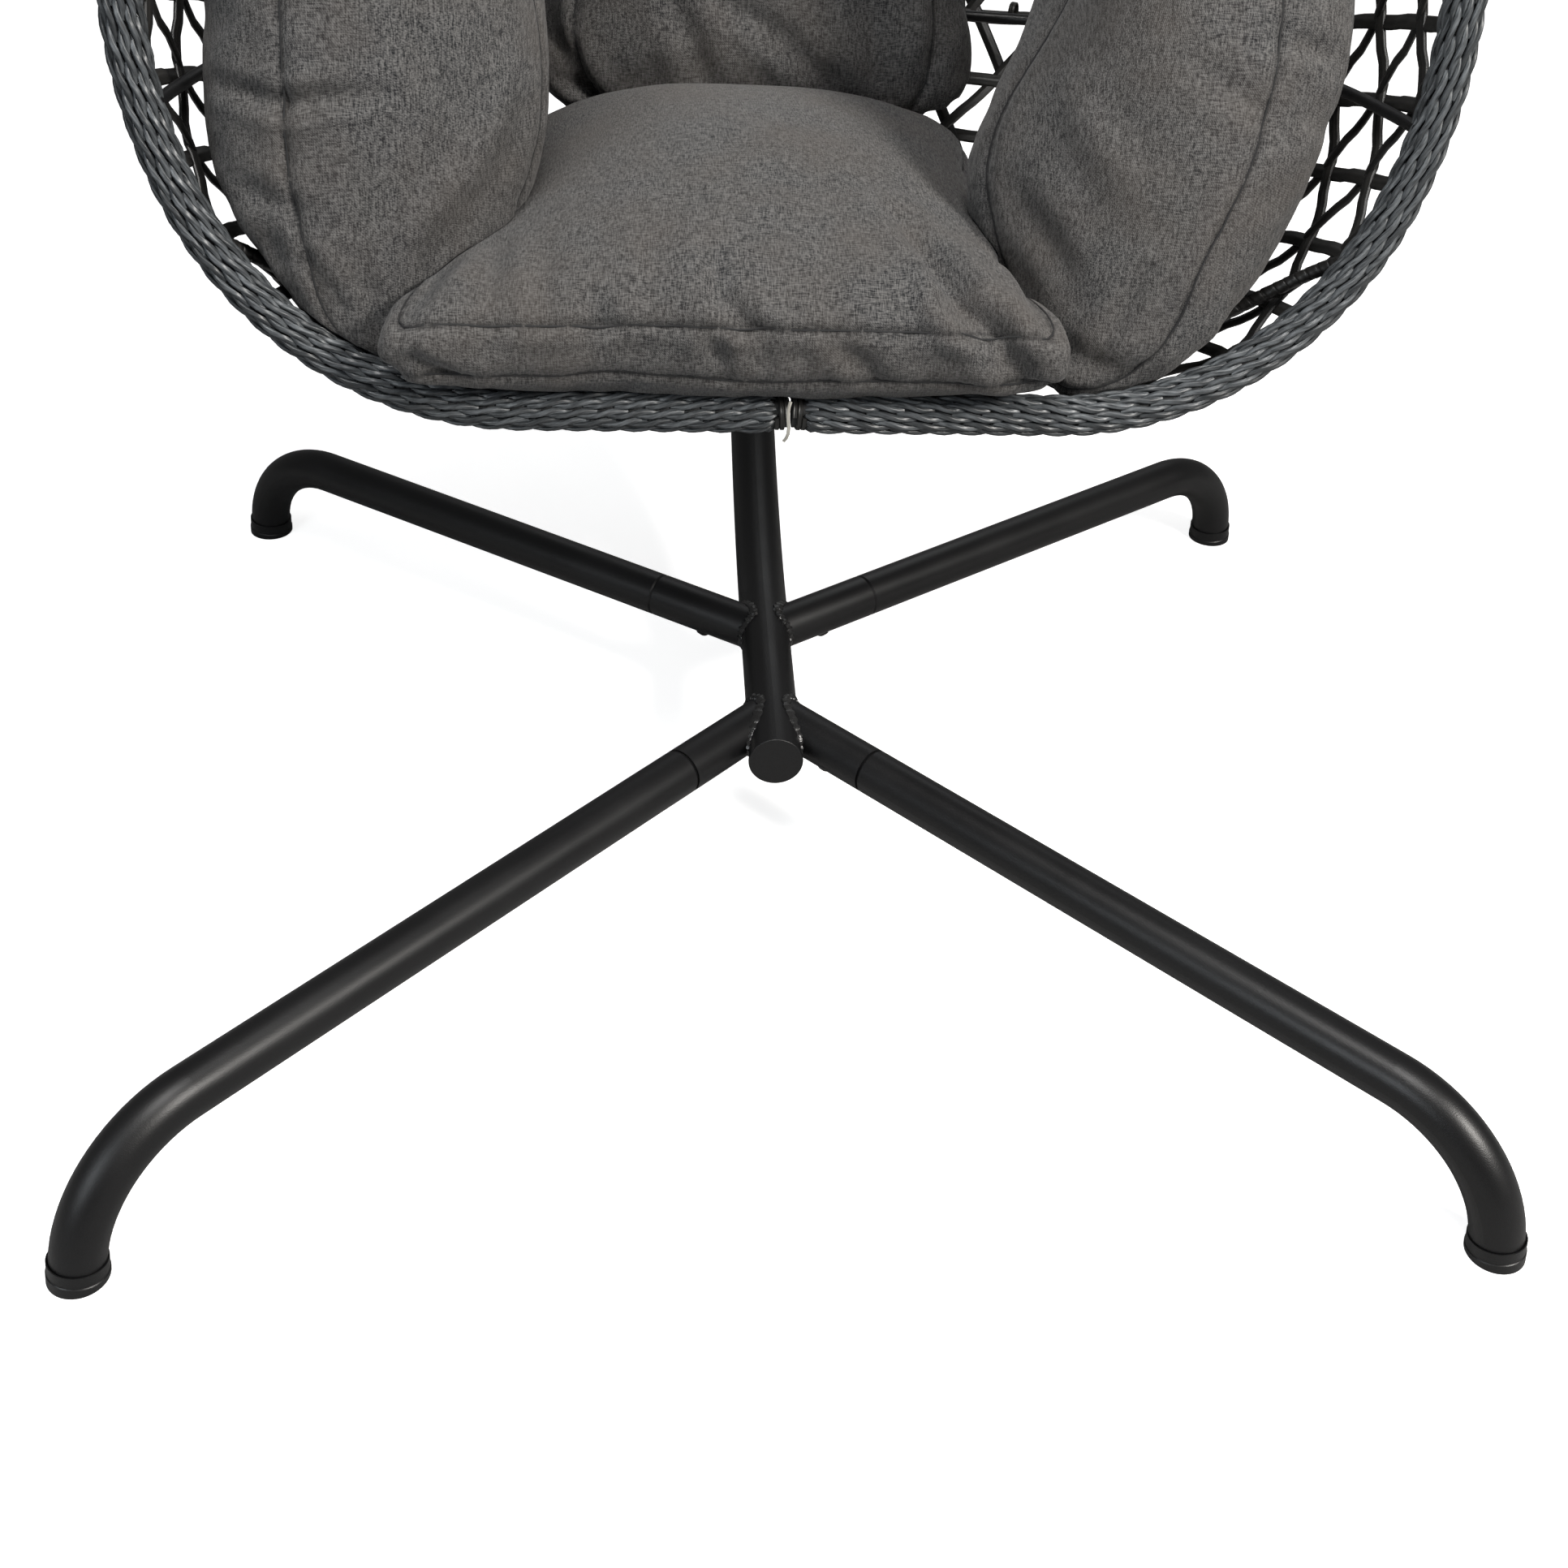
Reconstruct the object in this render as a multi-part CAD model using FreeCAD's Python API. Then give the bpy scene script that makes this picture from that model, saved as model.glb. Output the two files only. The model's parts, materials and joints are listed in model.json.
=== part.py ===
import FreeCAD, Part
import math
import os
from FreeCAD import Vector

# Hanging egg chair: a C-shaped steel stand on four bolted legs, with a woven basket in two bolted
# halves that hangs from a snap hook and a swivel. Millimetres, X to the right as seen
# from the front, Y to the back, Z up. The model is drawn from a point on the floor below the base
# tube and is moved at the end, so that its origin is at the middle of its footprint. Left and right
# in the names of pieces are as seen from the front.

# Base and legs
base_d = 48.0             # base tube and pole, outer diameter
base_wall = 2.0
leg_d = 42.0              # legs and their sockets, outer diameter
leg_wall = 1.5
base_axis_z = 105.0       # height of the base tube's axis over the floor
tube_front_y = -196.0     # front end of the base tube
front_joint_y = -123.0    # where the front legs' axes cross the base tube's axis
rear_joint_y = 11.0
front_foot_x = 533.0
front_foot_y = -682.0
rear_foot_x = 544.0
rear_foot_y = 380.0
socket_reach = 123.0      # from the crossing to the mouth of a leg socket
leg_insert = 62.0         # length of the leg's narrowed end inside its socket
leg_taper = 3.0
front_bend_deg = 82.0
front_end_run = 2.0       # straight end below the front legs' bend
rear_bend_deg = 85.5
rear_end_run = 10.0
slip = 0.15               # radial gap of a tube pushed into another
sole = 3.0                # thickness of the foot cap under the tube
foot_wall = 1.0
foot_flange = 0.7         # how far the foot's lower rim stands out from its wall
foot_gap = 0.5            # radial gap of the bent tube in its foot
foot_height = 17.0
foot_rim_height = 6.0
cap_lip = 3.0             # thickness of the tube plugs' face
cap_over = 0.9            # how far that face stands over the tube
plug_depth = 20.0
plug_wall = 1.6
leg_bolt_d = 8.0
bolt_hole_gap = 0.1       # radial gap of a bolt in its hole
leg_bolt_back = 52.0      # from the socket's mouth to the bolt
leg_bolt_head_d = 16.0
leg_bolt_head_h = 6.0
leg_nut_flats = 13.0
nut_corner_r = 7.6        # where the nut's corners meet the leg's bore
bolt_past_nut = 2.0

# Pole, from the base tube's rear run upwards
rear_run_y = 56.0         # where the base tube starts to rise
first_bend_r = 900.0
first_bend_deg = 22.0
second_bend_r = 420.0
joint_run = 12.0          # straight stretch of a pole section beyond its joint's narrowed end
pole_middle_run = 110.0   # straight foot of the pole's middle section
side_bend_r = 1800.0
side_bend_deg = 12.0
top_bend_r = 220.0
arm_past_hook = 48.0      # arm beyond the hanging eye
pole_insert = 90.0
pole_taper = 4.0
pole_screw_d = 6.0
pole_screw_length = 9.15
pole_screw_head_d = 12.0
pole_screw_head_h = 4.0
pole_hole_depth = 12.0

# Hanging gear
hang_y = 118.8            # plan place of the hanging eye
eye_rod_d = 12.0
eye_half_gap = 18.0       # from the eye's middle to the axis of its rod
eye_drop = 44.0           # from the arm's underside to the axis of the eye's lowest rod
link_gap = 0.3            # gap between links that hang in each other
hook_rod_d = 10.0
hook_r = 17.0             # bend radius of the snap hook's rod
hook_run = 64.0           # straight stretch of the snap hook
gate_low = 10.0           # gate pivot above the lower bend
gate_length = 46.0
gate_pin_d = 3.0
gate_tongue = 4.6
gate_play = 0.2           # gap beside the tongue
pin_play = 0.05           # radial gap of a turning pin or shaft
swivel_ring_r = 11.5
swivel_ring_d = 10.0
swivel_d = 34.0
swivel_height = 42.0
swivel_wall = 4.0
swivel_lip = 7.0
swivel_plug = 8.0         # how far the eye's plug reaches into the housing
spindle_d = 14.0
spindle_head_d = 24.0
spindle_head_h = 8.0
bearing_h = 6.0
bearing_play = 0.5        # radial gap of the spindle in the bearing
spindle_reach = 12.0      # spindle below the housing, down to the fork
fork_block = 12.0
fork_width = 26.0
fork_arm = 6.0
fork_depth = 34.0         # from the fork's block to its bolt
fork_bolt_d = 10.0
fork_end = 13.0           # rounding of the fork's arms round the bolt
fork_nut_flats = 17.0
fork_head_h = 6.4
fork_nut_h = 8.0
crown_clear = 67.66       # fork's bolt above the spine tubes' centre line

# Basket
rim_bottom_y = -171.0     # lowest point of the rim's centre line
rim_bottom_z = 442.0
rim_lean_deg = 8.0
rim_flat = 222.0          # half of the rim's straight bottom run
corner_r = 270.0
corner_deg = 71.2
side_r = 391.0
crown_r = 307.0
crown_flat = 44.0
rim_height = 1189.0       # along the leaning plane, between centre lines
basket_depth = 610.0
middle_v = 507.0          # height along the rim's plane towards which the basket closes
fullness = 2.3            # how square the basket's depth curve is
rim_tube_d = 20.0
rim_tube_wall = 1.5
rim_turn_r = 30.0         # bend that takes the rim tube back to the spine
spine_start_w = 30.0
braid_d = 34.0
braid_end_x = 12.0
weave_wall = 5.0
weave_split = 1.0         # gap between the two woven halves
skin_gap = 0.3
spine_inset = 19.0        # spine tubes' centre line inside the basket's outer surface
rib_d = 10.0
rib_inset = 15.0
rib_start_inset = 10.5    # the ribs' ends, welded to the rim tube under the braid
rib_heights = (235.0, 500.0, 820.0)
lug_wall = 4.0
lug_width = 34.0
lug_round_r = 12.92       # rounding of a lug round its bolt
spine_bolt_d = 8.0
spine_nut_flats = 13.0
spacer_d = 16.0
head_h = 5.5
nut_h = 6.5

# Cushions, as they lie: the seat cushion and the right bolster sit a little to the left
seat_front_y = -222.0
seat_back_y = 232.0
seat_front_x = -54.0      # middle of the seat cushion's front edge
seat_back_x = -24.0
seat_front_half = 256.0
seat_back_half = 196.0
seat_draw_in = 16.0       # how far the sides pull in between the corners
seat_edge = 62.0          # height of the sewn side band
seat_sag = 16.0           # how far the underside bulges below its edges
seat_crown = 64.0         # how far the top rises above its edges
seat_press = 3.0          # how much its underside is flattened on the braid
seat_low_y = -60.0        # in front of this the seat lies as low as the braid lets it
seat_middle_y = 60.0      # from there back to this it is raised over the spine tubes
seat_over_spine = 8.0
bolster_half_wide = 152.0
bolster_half_thick = 88.0
bolster_turn_deg = 32.0   # the bolsters' outer edges stand forward
bolster_foot_share = 0.3  # width of a bolster's ends, as a share of its width
bolster_head_share = 0.6
bolster_feet = (Vector(-344, -104, 446), Vector(276, -110, 440))
bolster_knees = (Vector(-328, -8, 752), Vector(306, -8, 742))
bolster_heads = (Vector(-292, 80, 1064), Vector(272, 80, 1050))
back_half = 206.0
back_height = 610.0
back_thick = 150.0
back_foot = Vector(-17, 240, 476)
back_lean_deg = 10.0
cushion_inset = 46.0      # clearance of the cushions inside the basket's outer surface
back_inset = 64.0
mouth_inset = 19.0        # the same, where they lie in the rim's mouth
mouth_reach = 130.0       # how far that room reaches in front of the rim's plane
back_foot_share = 0.85    # width of the back cushion's ends, as a share of its width
back_head_share = 0.8

side_name = {-1: "left", 1: "right"}
up = Vector(0, 0, 1)
across = Vector(1, 0, 0)
back = Vector(0, 1, 0)
lean = math.radians(rim_lean_deg)
rim_up = Vector(0, math.sin(lean), math.cos(lean))
rim_back = Vector(0, math.cos(lean), -math.sin(lean))
rim_origin = Vector(0, rim_bottom_y, rim_bottom_z)
leg_insert_r = leg_d / 2 - leg_wall - slip
shapes = {}


def unit(v):
    return v * (1.0 / v.Length)


def cylinder(radius, length, base, axis):
    return Part.makeCylinder(radius, length, base, axis)


def one_solid(shape):
    shape = shape.removeSplitter()
    if len(shape.Solids) == 1:
        return shape.Solids[0]
    return max(shape.Solids, key=lambda s: s.Volume)


def bent_path(start, ahead, steps):
    """Runs (length,) and turns (radius, degrees, towards) joined into one tangent path."""
    edges = []
    here, going = start, unit(ahead)
    for step in steps:
        if len(step) == 1:
            there = here + going * step[0]
            edges.append(Part.LineSegment(here, there).toShape())
        else:
            radius, degrees, towards = step
            towards = unit(towards - going * going.dot(towards))
            points = []
            for share in (0.5, 1.0):
                a = math.radians(degrees) * share
                points.append(here + (going * math.sin(a) + towards * (1 - math.cos(a))) * radius)
            there = points[1]
            edges.append(Part.Arc(here, points[0], there).toShape())
            a = math.radians(degrees)
            going = unit(going * math.cos(a) + towards * math.sin(a))
        here = there
    return Part.Wire(edges), here, going


def rounded_path(points, share=0.45):
    """Straight runs through points, joined by tangent arcs as large as the runs allow."""
    edges = []
    here = points[0]
    for before, corner, after in zip(points, points[1:], points[2:]):
        d_in, d_out = unit(corner - before), unit(after - corner)
        turn = math.acos(max(-1.0, min(1.0, d_in.dot(d_out))))
        cut = share * min((corner - before).Length, (after - corner).Length)
        a, b = corner - d_in * cut, corner + d_out * cut
        radius = cut / math.tan(turn / 2)
        centre = a + unit(d_out - d_in * d_in.dot(d_out)) * radius
        middle = centre + unit(corner - centre) * radius
        edges.append(Part.LineSegment(here, a).toShape())
        edges.append(Part.Arc(a, middle, b).toShape())
        here = b
    edges.append(Part.LineSegment(here, points[-1]).toShape())
    return Part.Wire(edges)


def rod(path, start, ahead, diameter):
    ring = Part.Wire([Part.Circle(start, unit(ahead), diameter / 2).toShape()])
    return path.makePipeShell([ring], True, False)


def rod_along(start, ahead, steps, diameter):
    path, end, going = bent_path(start, ahead, steps)
    return rod(path, start, ahead, diameter), end, going


def hex_prism(across_flats, height, base, axis):
    side = across_flats / math.sqrt(3)
    first = unit(axis.cross(up)) if abs(axis.dot(up)) < 0.9 else Vector(1, 0, 0)
    second = unit(axis.cross(first))
    corners = [base + (first * math.cos(k * math.pi / 3) + second * math.sin(k * math.pi / 3)) * side
               for k in range(6)]
    return Part.Face(Part.makePolygon(corners + corners[:1])).extrude(unit(axis) * height)


def half_space(sign, reach=3000.0, gap=0.0):
    """A box that covers one side of the middle plane, gap/2 away from it."""
    low = gap / 2 if sign > 0 else -gap / 2 - reach
    return Part.makeBox(reach, 2 * reach, 2 * reach, Vector(low, -reach, -reach))


# Stand

def leg_plan(side, joint_y, foot_x, foot_y):
    start = Vector(0, joint_y, base_axis_z)
    foot = Vector(side * foot_x, foot_y, base_axis_z)
    return start, unit(foot - start), (foot - start).Length


leg_specs = [("front", -1, front_joint_y, front_foot_x, front_foot_y, front_end_run, front_bend_deg),
             ("front", 1, front_joint_y, front_foot_x, front_foot_y, front_end_run, front_bend_deg),
             ("rear", -1, rear_joint_y, rear_foot_x, rear_foot_y, rear_end_run, rear_bend_deg),
             ("rear", 1, rear_joint_y, rear_foot_x, rear_foot_y, rear_end_run, rear_bend_deg)]


def make_base_tube():
    start = Vector(0, tube_front_y, base_axis_z)
    steps = [(rear_run_y - tube_front_y,), (first_bend_r, first_bend_deg, up),
             (second_bend_r, 90 - first_bend_deg, up), (pole_insert + joint_run,)]
    outer, end, going = rod_along(start, back, steps, base_d)
    bore = rod_along(start, back, steps, base_d - 2 * base_wall)[0]
    return outer.cut(bore), outer, end, going


def joined_section(joint, going, steps):
    """A pole section above a joint, with a narrowed end that reaches into the section below."""
    start = joint + going * pole_taper
    outer, end, heading = rod_along(start, going, steps, base_d)
    bore = rod_along(start, going, steps, base_d - 2 * base_wall)[0]
    insert_d = base_d - 2 * base_wall - 2 * slip
    low = joint - going * pole_insert
    narrow = cylinder(insert_d / 2, pole_insert, low, going)
    narrow = narrow.fuse(Part.makeCone(insert_d / 2, base_d / 2, pole_taper, joint, going))
    narrow = narrow.cut(cylinder(insert_d / 2 - base_wall, pole_insert + pole_taper, low, going))
    return one_solid(outer.cut(bore).fuse(narrow)), end, heading


def screw(at, outward, diameter, depth, head_d, head_height):
    """A domed screw whose head sits on a tube, pointing inwards."""
    outward = unit(outward)
    shank = cylinder(diameter / 2, depth, at, -outward)
    flange = cylinder(head_d / 2, head_height * 0.35, at, outward)
    dome = Part.makeCone(head_d / 2, head_d / 4, head_height * 0.65, at + outward * head_height * 0.35,
                         outward)
    return one_solid(shank.fuse([flange, dome]))


def make_leg_tube(mouth, out, length, tail, bend_deg):
    """A leg beyond its socket's mouth, with the narrowed end that reaches into the socket."""
    angle = math.radians(bend_deg)
    tip_z = sole + leg_d / 2 * math.cos(angle)
    bend_r = (base_axis_z - tip_z - tail * math.sin(angle)) / (1 - math.cos(angle))
    bend_start = length - bend_r * math.sin(angle) - tail * math.cos(angle)
    steps = [(bend_start - socket_reach - leg_taper,), (bend_r, bend_deg, -up), (tail,)]
    start = mouth + out * leg_taper
    outer, tip, down = rod_along(start, out, steps, leg_d)
    bore = rod_along(start, out, steps, leg_d - 2 * leg_wall)[0]
    low = mouth - out * leg_insert
    narrow = cylinder(leg_insert_r, leg_insert, low, out)
    narrow = narrow.fuse(Part.makeCone(leg_insert_r, leg_d / 2, leg_taper, mouth, out))
    narrow = narrow.cut(cylinder(leg_insert_r - leg_wall, leg_insert + leg_taper + leg_wall, low, out))
    return one_solid(outer.cut(bore).fuse(narrow)), tip, down


def make_leg_bolt(mouth, out):
    """The bolt that goes up through a socket and its leg's narrowed end, its nut, and its hole."""
    bore_r = leg_insert_r - leg_wall
    bore_floor = mouth - out * leg_bolt_back - up * bore_r
    seat = bore_floor - up * (leg_d / 2 - bore_r)
    nut_low = bore_floor + up * (bore_r - math.sqrt(bore_r ** 2 - nut_corner_r ** 2))
    nut = hex_prism(leg_nut_flats, nut_h, nut_low, up)
    nut = nut.cut(cylinder(leg_bolt_d / 2, 3 * nut_h, nut_low - up, up))
    bolt_length = (nut_low - seat).Length + nut_h + bolt_past_nut
    bolt = screw(seat, -up, leg_bolt_d, bolt_length, leg_bolt_head_d, leg_bolt_head_h)
    hole = cylinder(leg_bolt_d / 2 + bolt_hole_gap, leg_d / 2, seat - up, up)
    return bolt, nut, hole


def make_stand():
    base_tube, base_solid, end, going = make_base_tube()
    bolts, nuts = [], []
    for row, side, joint_y, foot_x, foot_y, tail, bend_deg in leg_specs:
        start, out, length = leg_plan(side, joint_y, foot_x, foot_y)
        name = row + "_" + side_name[side]
        mouth = start + out * socket_reach
        socket = cylinder(leg_d / 2, socket_reach, start, out)
        socket = socket.cut(cylinder(leg_d / 2 - leg_wall, socket_reach, start, out)).cut(base_solid)
        leg, tip, down = make_leg_tube(mouth, out, length, tail, bend_deg)
        bolt, nut, hole = make_leg_bolt(mouth, out)
        bolts.append(bolt)
        nuts.append(nut)
        shapes["leg_socket_" + name] = one_solid(socket.cut(hole))
        shapes["leg_" + name] = one_solid(leg.cut(hole))
        shapes["foot_" + name] = make_foot(tip, down)
    shapes["base_tube"] = base_tube
    shapes["leg_bolts"] = Part.makeCompound(bolts)
    shapes["leg_nuts"] = Part.makeCompound(nuts)
    shapes["base_end_cap"] = tube_plug(Vector(0, tube_front_y, base_axis_z), -back)
    make_pole(end, going)


def make_foot(tip, down):
    """A cup on the leg's end with a flat sole on the floor."""
    inner_d = leg_d + 2 * foot_gap
    outer_r = inner_d / 2 + foot_wall
    rise = foot_height - tip.z
    top = tip - down * rise
    cup = cylinder(outer_r, foot_height + outer_r, top, down)
    rim_top = tip - down * (foot_rim_height - tip.z)
    rim = cylinder(outer_r + foot_flange, foot_rim_height + outer_r, rim_top, down)
    soften = Part.makeCone(outer_r, outer_r + foot_flange, foot_flange, rim_top - down * foot_flange, down)
    body = cup.fuse([rim, soften])
    corner = Vector(tip.x, tip.y, 0) - Vector(4, 4, 4) * outer_r
    under = Part.makeBox(8 * outer_r, 8 * outer_r, 4 * outer_r, corner)
    return one_solid(body.cut(under).cut(cylinder(inner_d / 2, rise, top, down)))


def tube_plug(end, outward):
    bore_d = base_d - 2 * base_wall
    face = cylinder(base_d / 2 + cap_over, cap_lip, end, outward)
    face = face.makeFillet(cap_lip * 0.4, [e for e in face.Edges
                                           if e.CenterOfMass.sub(end).dot(outward) > cap_lip * 0.9])
    stem = cylinder(bore_d / 2 - slip, plug_depth, end - outward * plug_depth, outward)
    stem = stem.cut(cylinder(bore_d / 2 - slip - plug_wall, plug_depth, end - outward * plug_depth, outward))
    return one_solid(face.fuse(stem))


def joint_screws(joint, going):
    """Two screws through a pole joint, from both sides."""
    screws = []
    seats = []
    for sign in (-1, 1):
        at = joint - going * pole_insert * 0.5 + across * sign * base_d / 2
        screws.append(screw(at, across * sign, pole_screw_d, pole_screw_length, pole_screw_head_d,
                            pole_screw_head_h))
        seats.append(cylinder(pole_screw_d / 2 + bolt_hole_gap, pole_hole_depth + base_wall,
                              at - across * sign * pole_hole_depth, across * sign))
    return screws, seats


def make_pole(end, going):
    lean_in = math.radians(side_bend_deg)
    middle_steps = [(pole_middle_run,), (side_bend_r, side_bend_deg, -back), (pole_insert + joint_run,)]
    middle, mid_end, mid_going = joined_section(end, going, middle_steps)
    arm_z = spine_top_z() + crown_clear + hanger_drop() - base_d / 2
    rise = top_bend_r * (1 - math.sin(lean_in))
    climb = (arm_z - rise - mid_end.z) / math.cos(lean_in)
    arm_start_y = mid_end.y - climb * math.sin(lean_in) - top_bend_r * math.cos(lean_in)
    climb -= pole_taper
    arm = arm_start_y - hang_y + arm_past_hook
    top_steps = [(climb,), (top_bend_r, 90 - side_bend_deg, -back), (arm,)]
    upper, tip, tip_going = joined_section(mid_end, mid_going, top_steps)
    screws = []
    pieces = {"base_tube": shapes["base_tube"], "pole_middle": middle, "pole_upper": upper}
    for joint, heading, outside, inside in ((end, going, "base_tube", "pole_middle"),
                                            (mid_end, mid_going, "pole_middle", "pole_upper")):
        made, holes = joint_screws(joint, heading)
        screws += made
        for hole in holes:
            pieces[outside] = pieces[outside].cut(hole)
            pieces[inside] = pieces[inside].cut(hole)
    for name, piece in pieces.items():
        shapes[name] = one_solid(piece)
    shapes["pole_screws"] = Part.makeCompound(screws)
    shapes["pole_end_cap"] = tube_plug(tip, tip_going)
    make_hanging_eye(arm_z)


def hanger_drop():
    """From the top of the arm down to the fork's bolt, link by link."""
    eye = base_d + eye_drop - (eye_rod_d / 2 + link_gap + hook_rod_d / 2)
    hook = 2 * hook_r + hook_run - (hook_rod_d / 2 + link_gap + swivel_ring_d / 2)
    swivel = 2 * swivel_ring_r - 0.2 * swivel_ring_d + swivel_height + spindle_reach
    return eye + hook + swivel + fork_block + fork_depth


def make_hanging_eye(arm_z):
    """A U of round rod welded under the arm."""
    under = arm_z - base_d / 2
    leg = eye_drop - eye_half_gap
    start = Vector(0, hang_y - eye_half_gap, arm_z)
    steps = [(leg + base_d / 2,), (eye_half_gap, 90, back), (eye_half_gap, 90, up), (leg + base_d / 2,)]
    loop = rod_along(start, -up, steps, eye_rod_d)[0]
    arm_core = cylinder(base_d / 2, 8 * eye_half_gap, Vector(0, hang_y - 4 * eye_half_gap, arm_z), back)
    shapes["hanging_eye"] = one_solid(loop.cut(arm_core))
    make_snap_hook(under - eye_drop)


# Hanging gear

def make_snap_hook(bar_z):
    """An oval hook in the XZ plane, hung on the eye's lowest rod."""
    rod_r = hook_rod_d / 2
    top_z = bar_z + eye_rod_d / 2 + link_gap + rod_r
    upper_z = top_z - hook_r
    lower_z = upper_z - hook_run
    pivot = Vector(hook_r, hang_y, lower_z + gate_low)
    gate_top = pivot.z + gate_length
    nose = upper_z - gate_top - link_gap
    start = Vector(hook_r, hang_y, upper_z - nose)
    steps = [(nose,), (hook_r, 90, -across), (hook_r, 90, -up), (hook_run,),
             (hook_r, 90, across), (hook_r, 90, up), (gate_low + rod_r * 0.8,)]
    hook = rod_along(start, up, steps, hook_rod_d)[0]
    slot_half = gate_tongue / 2 + gate_play
    slot = Part.makeBox(4 * rod_r, 2 * slot_half, 3 * rod_r,
                        Vector(hook_r - 2 * rod_r, hang_y - slot_half, pivot.z - rod_r - gate_play))
    pin_hole = cylinder(gate_pin_d / 2, 4 * rod_r, pivot - back * 2 * rod_r, back)
    shapes["snap_hook"] = one_solid(hook.cut(slot).cut(pin_hole))
    pin = cylinder(gate_pin_d / 2, 2 * rod_r * 0.86, pivot - back * rod_r * 0.86, back)
    shapes["gate_pin"] = pin
    clear = rod_r * 1.8
    stem = cylinder(rod_r * 0.96, gate_length - clear, pivot + up * clear, up)
    tongue = Part.makeBox(2 * rod_r * 0.7, gate_tongue, clear + 1,
                          pivot + Vector(-rod_r * 0.7, -gate_tongue / 2, 0))
    tongue = tongue.fuse(cylinder(rod_r * 0.7, gate_tongue, pivot - back * gate_tongue / 2, back))
    gate = stem.fuse(tongue).cut(cylinder(gate_pin_d / 2 + pin_play, 4 * rod_r, pivot - back * 2 * rod_r,
                                          back))
    shapes["hook_gate"] = one_solid(gate)
    print("pivots: side swing z %.2f, gate x %.2f z %.2f" % (bar_z, pivot.x, pivot.z))
    make_swivel(lower_z - hook_r)


def make_swivel(wire_z):
    ring_top = wire_z + hook_rod_d / 2 + link_gap + swivel_ring_d / 2
    ring_z = ring_top - swivel_ring_r
    ring = Part.makeTorus(swivel_ring_r, swivel_ring_d / 2, Vector(0, hang_y, ring_z), across)
    top = ring_z - swivel_ring_r + swivel_ring_d * 0.2
    outer_r = swivel_d / 2
    bore_r = outer_r - swivel_wall
    roof = cylinder(outer_r, swivel_wall, Vector(0, hang_y, top - swivel_wall), up)
    plug = cylinder(bore_r - slip, swivel_plug, Vector(0, hang_y, top - swivel_wall - swivel_plug), up)
    ring = ring.cut(cylinder(outer_r, swivel_height, Vector(0, hang_y, top - swivel_height), up))
    shapes["swivel_eye"] = one_solid(ring.fuse([roof, plug]))
    shell_top = top - swivel_wall
    shell_low = top - swivel_height
    shell = cylinder(outer_r, shell_top - shell_low, Vector(0, hang_y, shell_low), up)
    shell = shell.cut(cylinder(bore_r, swivel_height, Vector(0, hang_y, shell_low + swivel_lip), up))
    shell = shell.cut(cylinder(spindle_d / 2 + pin_play, swivel_lip, Vector(0, hang_y, shell_low), up))
    shapes["swivel_housing"] = one_solid(shell)
    bearing = cylinder(bore_r - slip, bearing_h, Vector(0, hang_y, shell_low + swivel_lip), up)
    bearing = bearing.cut(cylinder(spindle_d / 2 + bearing_play, bearing_h,
                                   Vector(0, hang_y, shell_low + swivel_lip), up))
    shapes["thrust_bearing"] = bearing
    head_z = shell_low + swivel_lip + bearing_h + link_gap
    fork_top = shell_low - spindle_reach
    head = cylinder(spindle_head_d / 2, spindle_head_h, Vector(0, hang_y, head_z), up)
    shaft = cylinder(spindle_d / 2, head_z - fork_top + fork_block * 0.8,
                     Vector(0, hang_y, fork_top - fork_block * 0.8), up)
    shapes["swivel_spindle"] = one_solid(head.fuse(shaft))
    print("pivots: fore and aft z %.2f" % wire_z)
    make_fork(fork_top)


def make_fork(fork_top):
    inner = lug_wall + skin_gap
    reach = inner + fork_arm
    bolt_z = fork_top - fork_block - fork_depth
    block = Part.makeBox(2 * reach, fork_width, fork_block,
                         Vector(-reach, hang_y - fork_width / 2, fork_top - fork_block))
    parts = []
    for sign in (-1, 1):
        low = inner if sign > 0 else -reach
        parts.append(Part.makeBox(fork_arm, fork_width, fork_depth,
                                  Vector(low, hang_y - fork_width / 2, bolt_z)))
        parts.append(cylinder(fork_end, fork_arm, Vector(low, hang_y, bolt_z), across))
    fork = block.fuse(parts)
    fork = fork.cut(cylinder(spindle_d / 2, fork_block, Vector(0, hang_y, fork_top - fork_block * 0.8), up))
    hole = cylinder(fork_bolt_d / 2 + bolt_hole_gap, 4 * reach, Vector(-2 * reach, hang_y, bolt_z), across)
    shapes["swivel_fork"] = one_solid(fork.cut(hole))
    bolt, nut = bolt_and_nut(Vector(-reach, hang_y, bolt_z), across, 2 * reach, fork_bolt_d,
                             fork_nut_flats, fork_head_h, fork_nut_h)
    shapes["fork_bolt"], shapes["fork_nut"] = bolt, nut
    make_lugs(bolt_z)


def bolt_and_nut(seat, along, grip, diameter, flats, head, nut):
    """A hex bolt whose head bears at seat, and the nut at the far end of its grip."""
    bolt = hex_prism(flats, head, seat - along * head, along)
    bolt = one_solid(bolt.fuse(cylinder(diameter / 2, grip + nut + bolt_past_nut, seat, along)))
    far = seat + along * grip
    ring = hex_prism(flats, nut, far, along).cut(cylinder(diameter / 2, nut, far, along))
    return bolt, one_solid(ring)


# Basket

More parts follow.
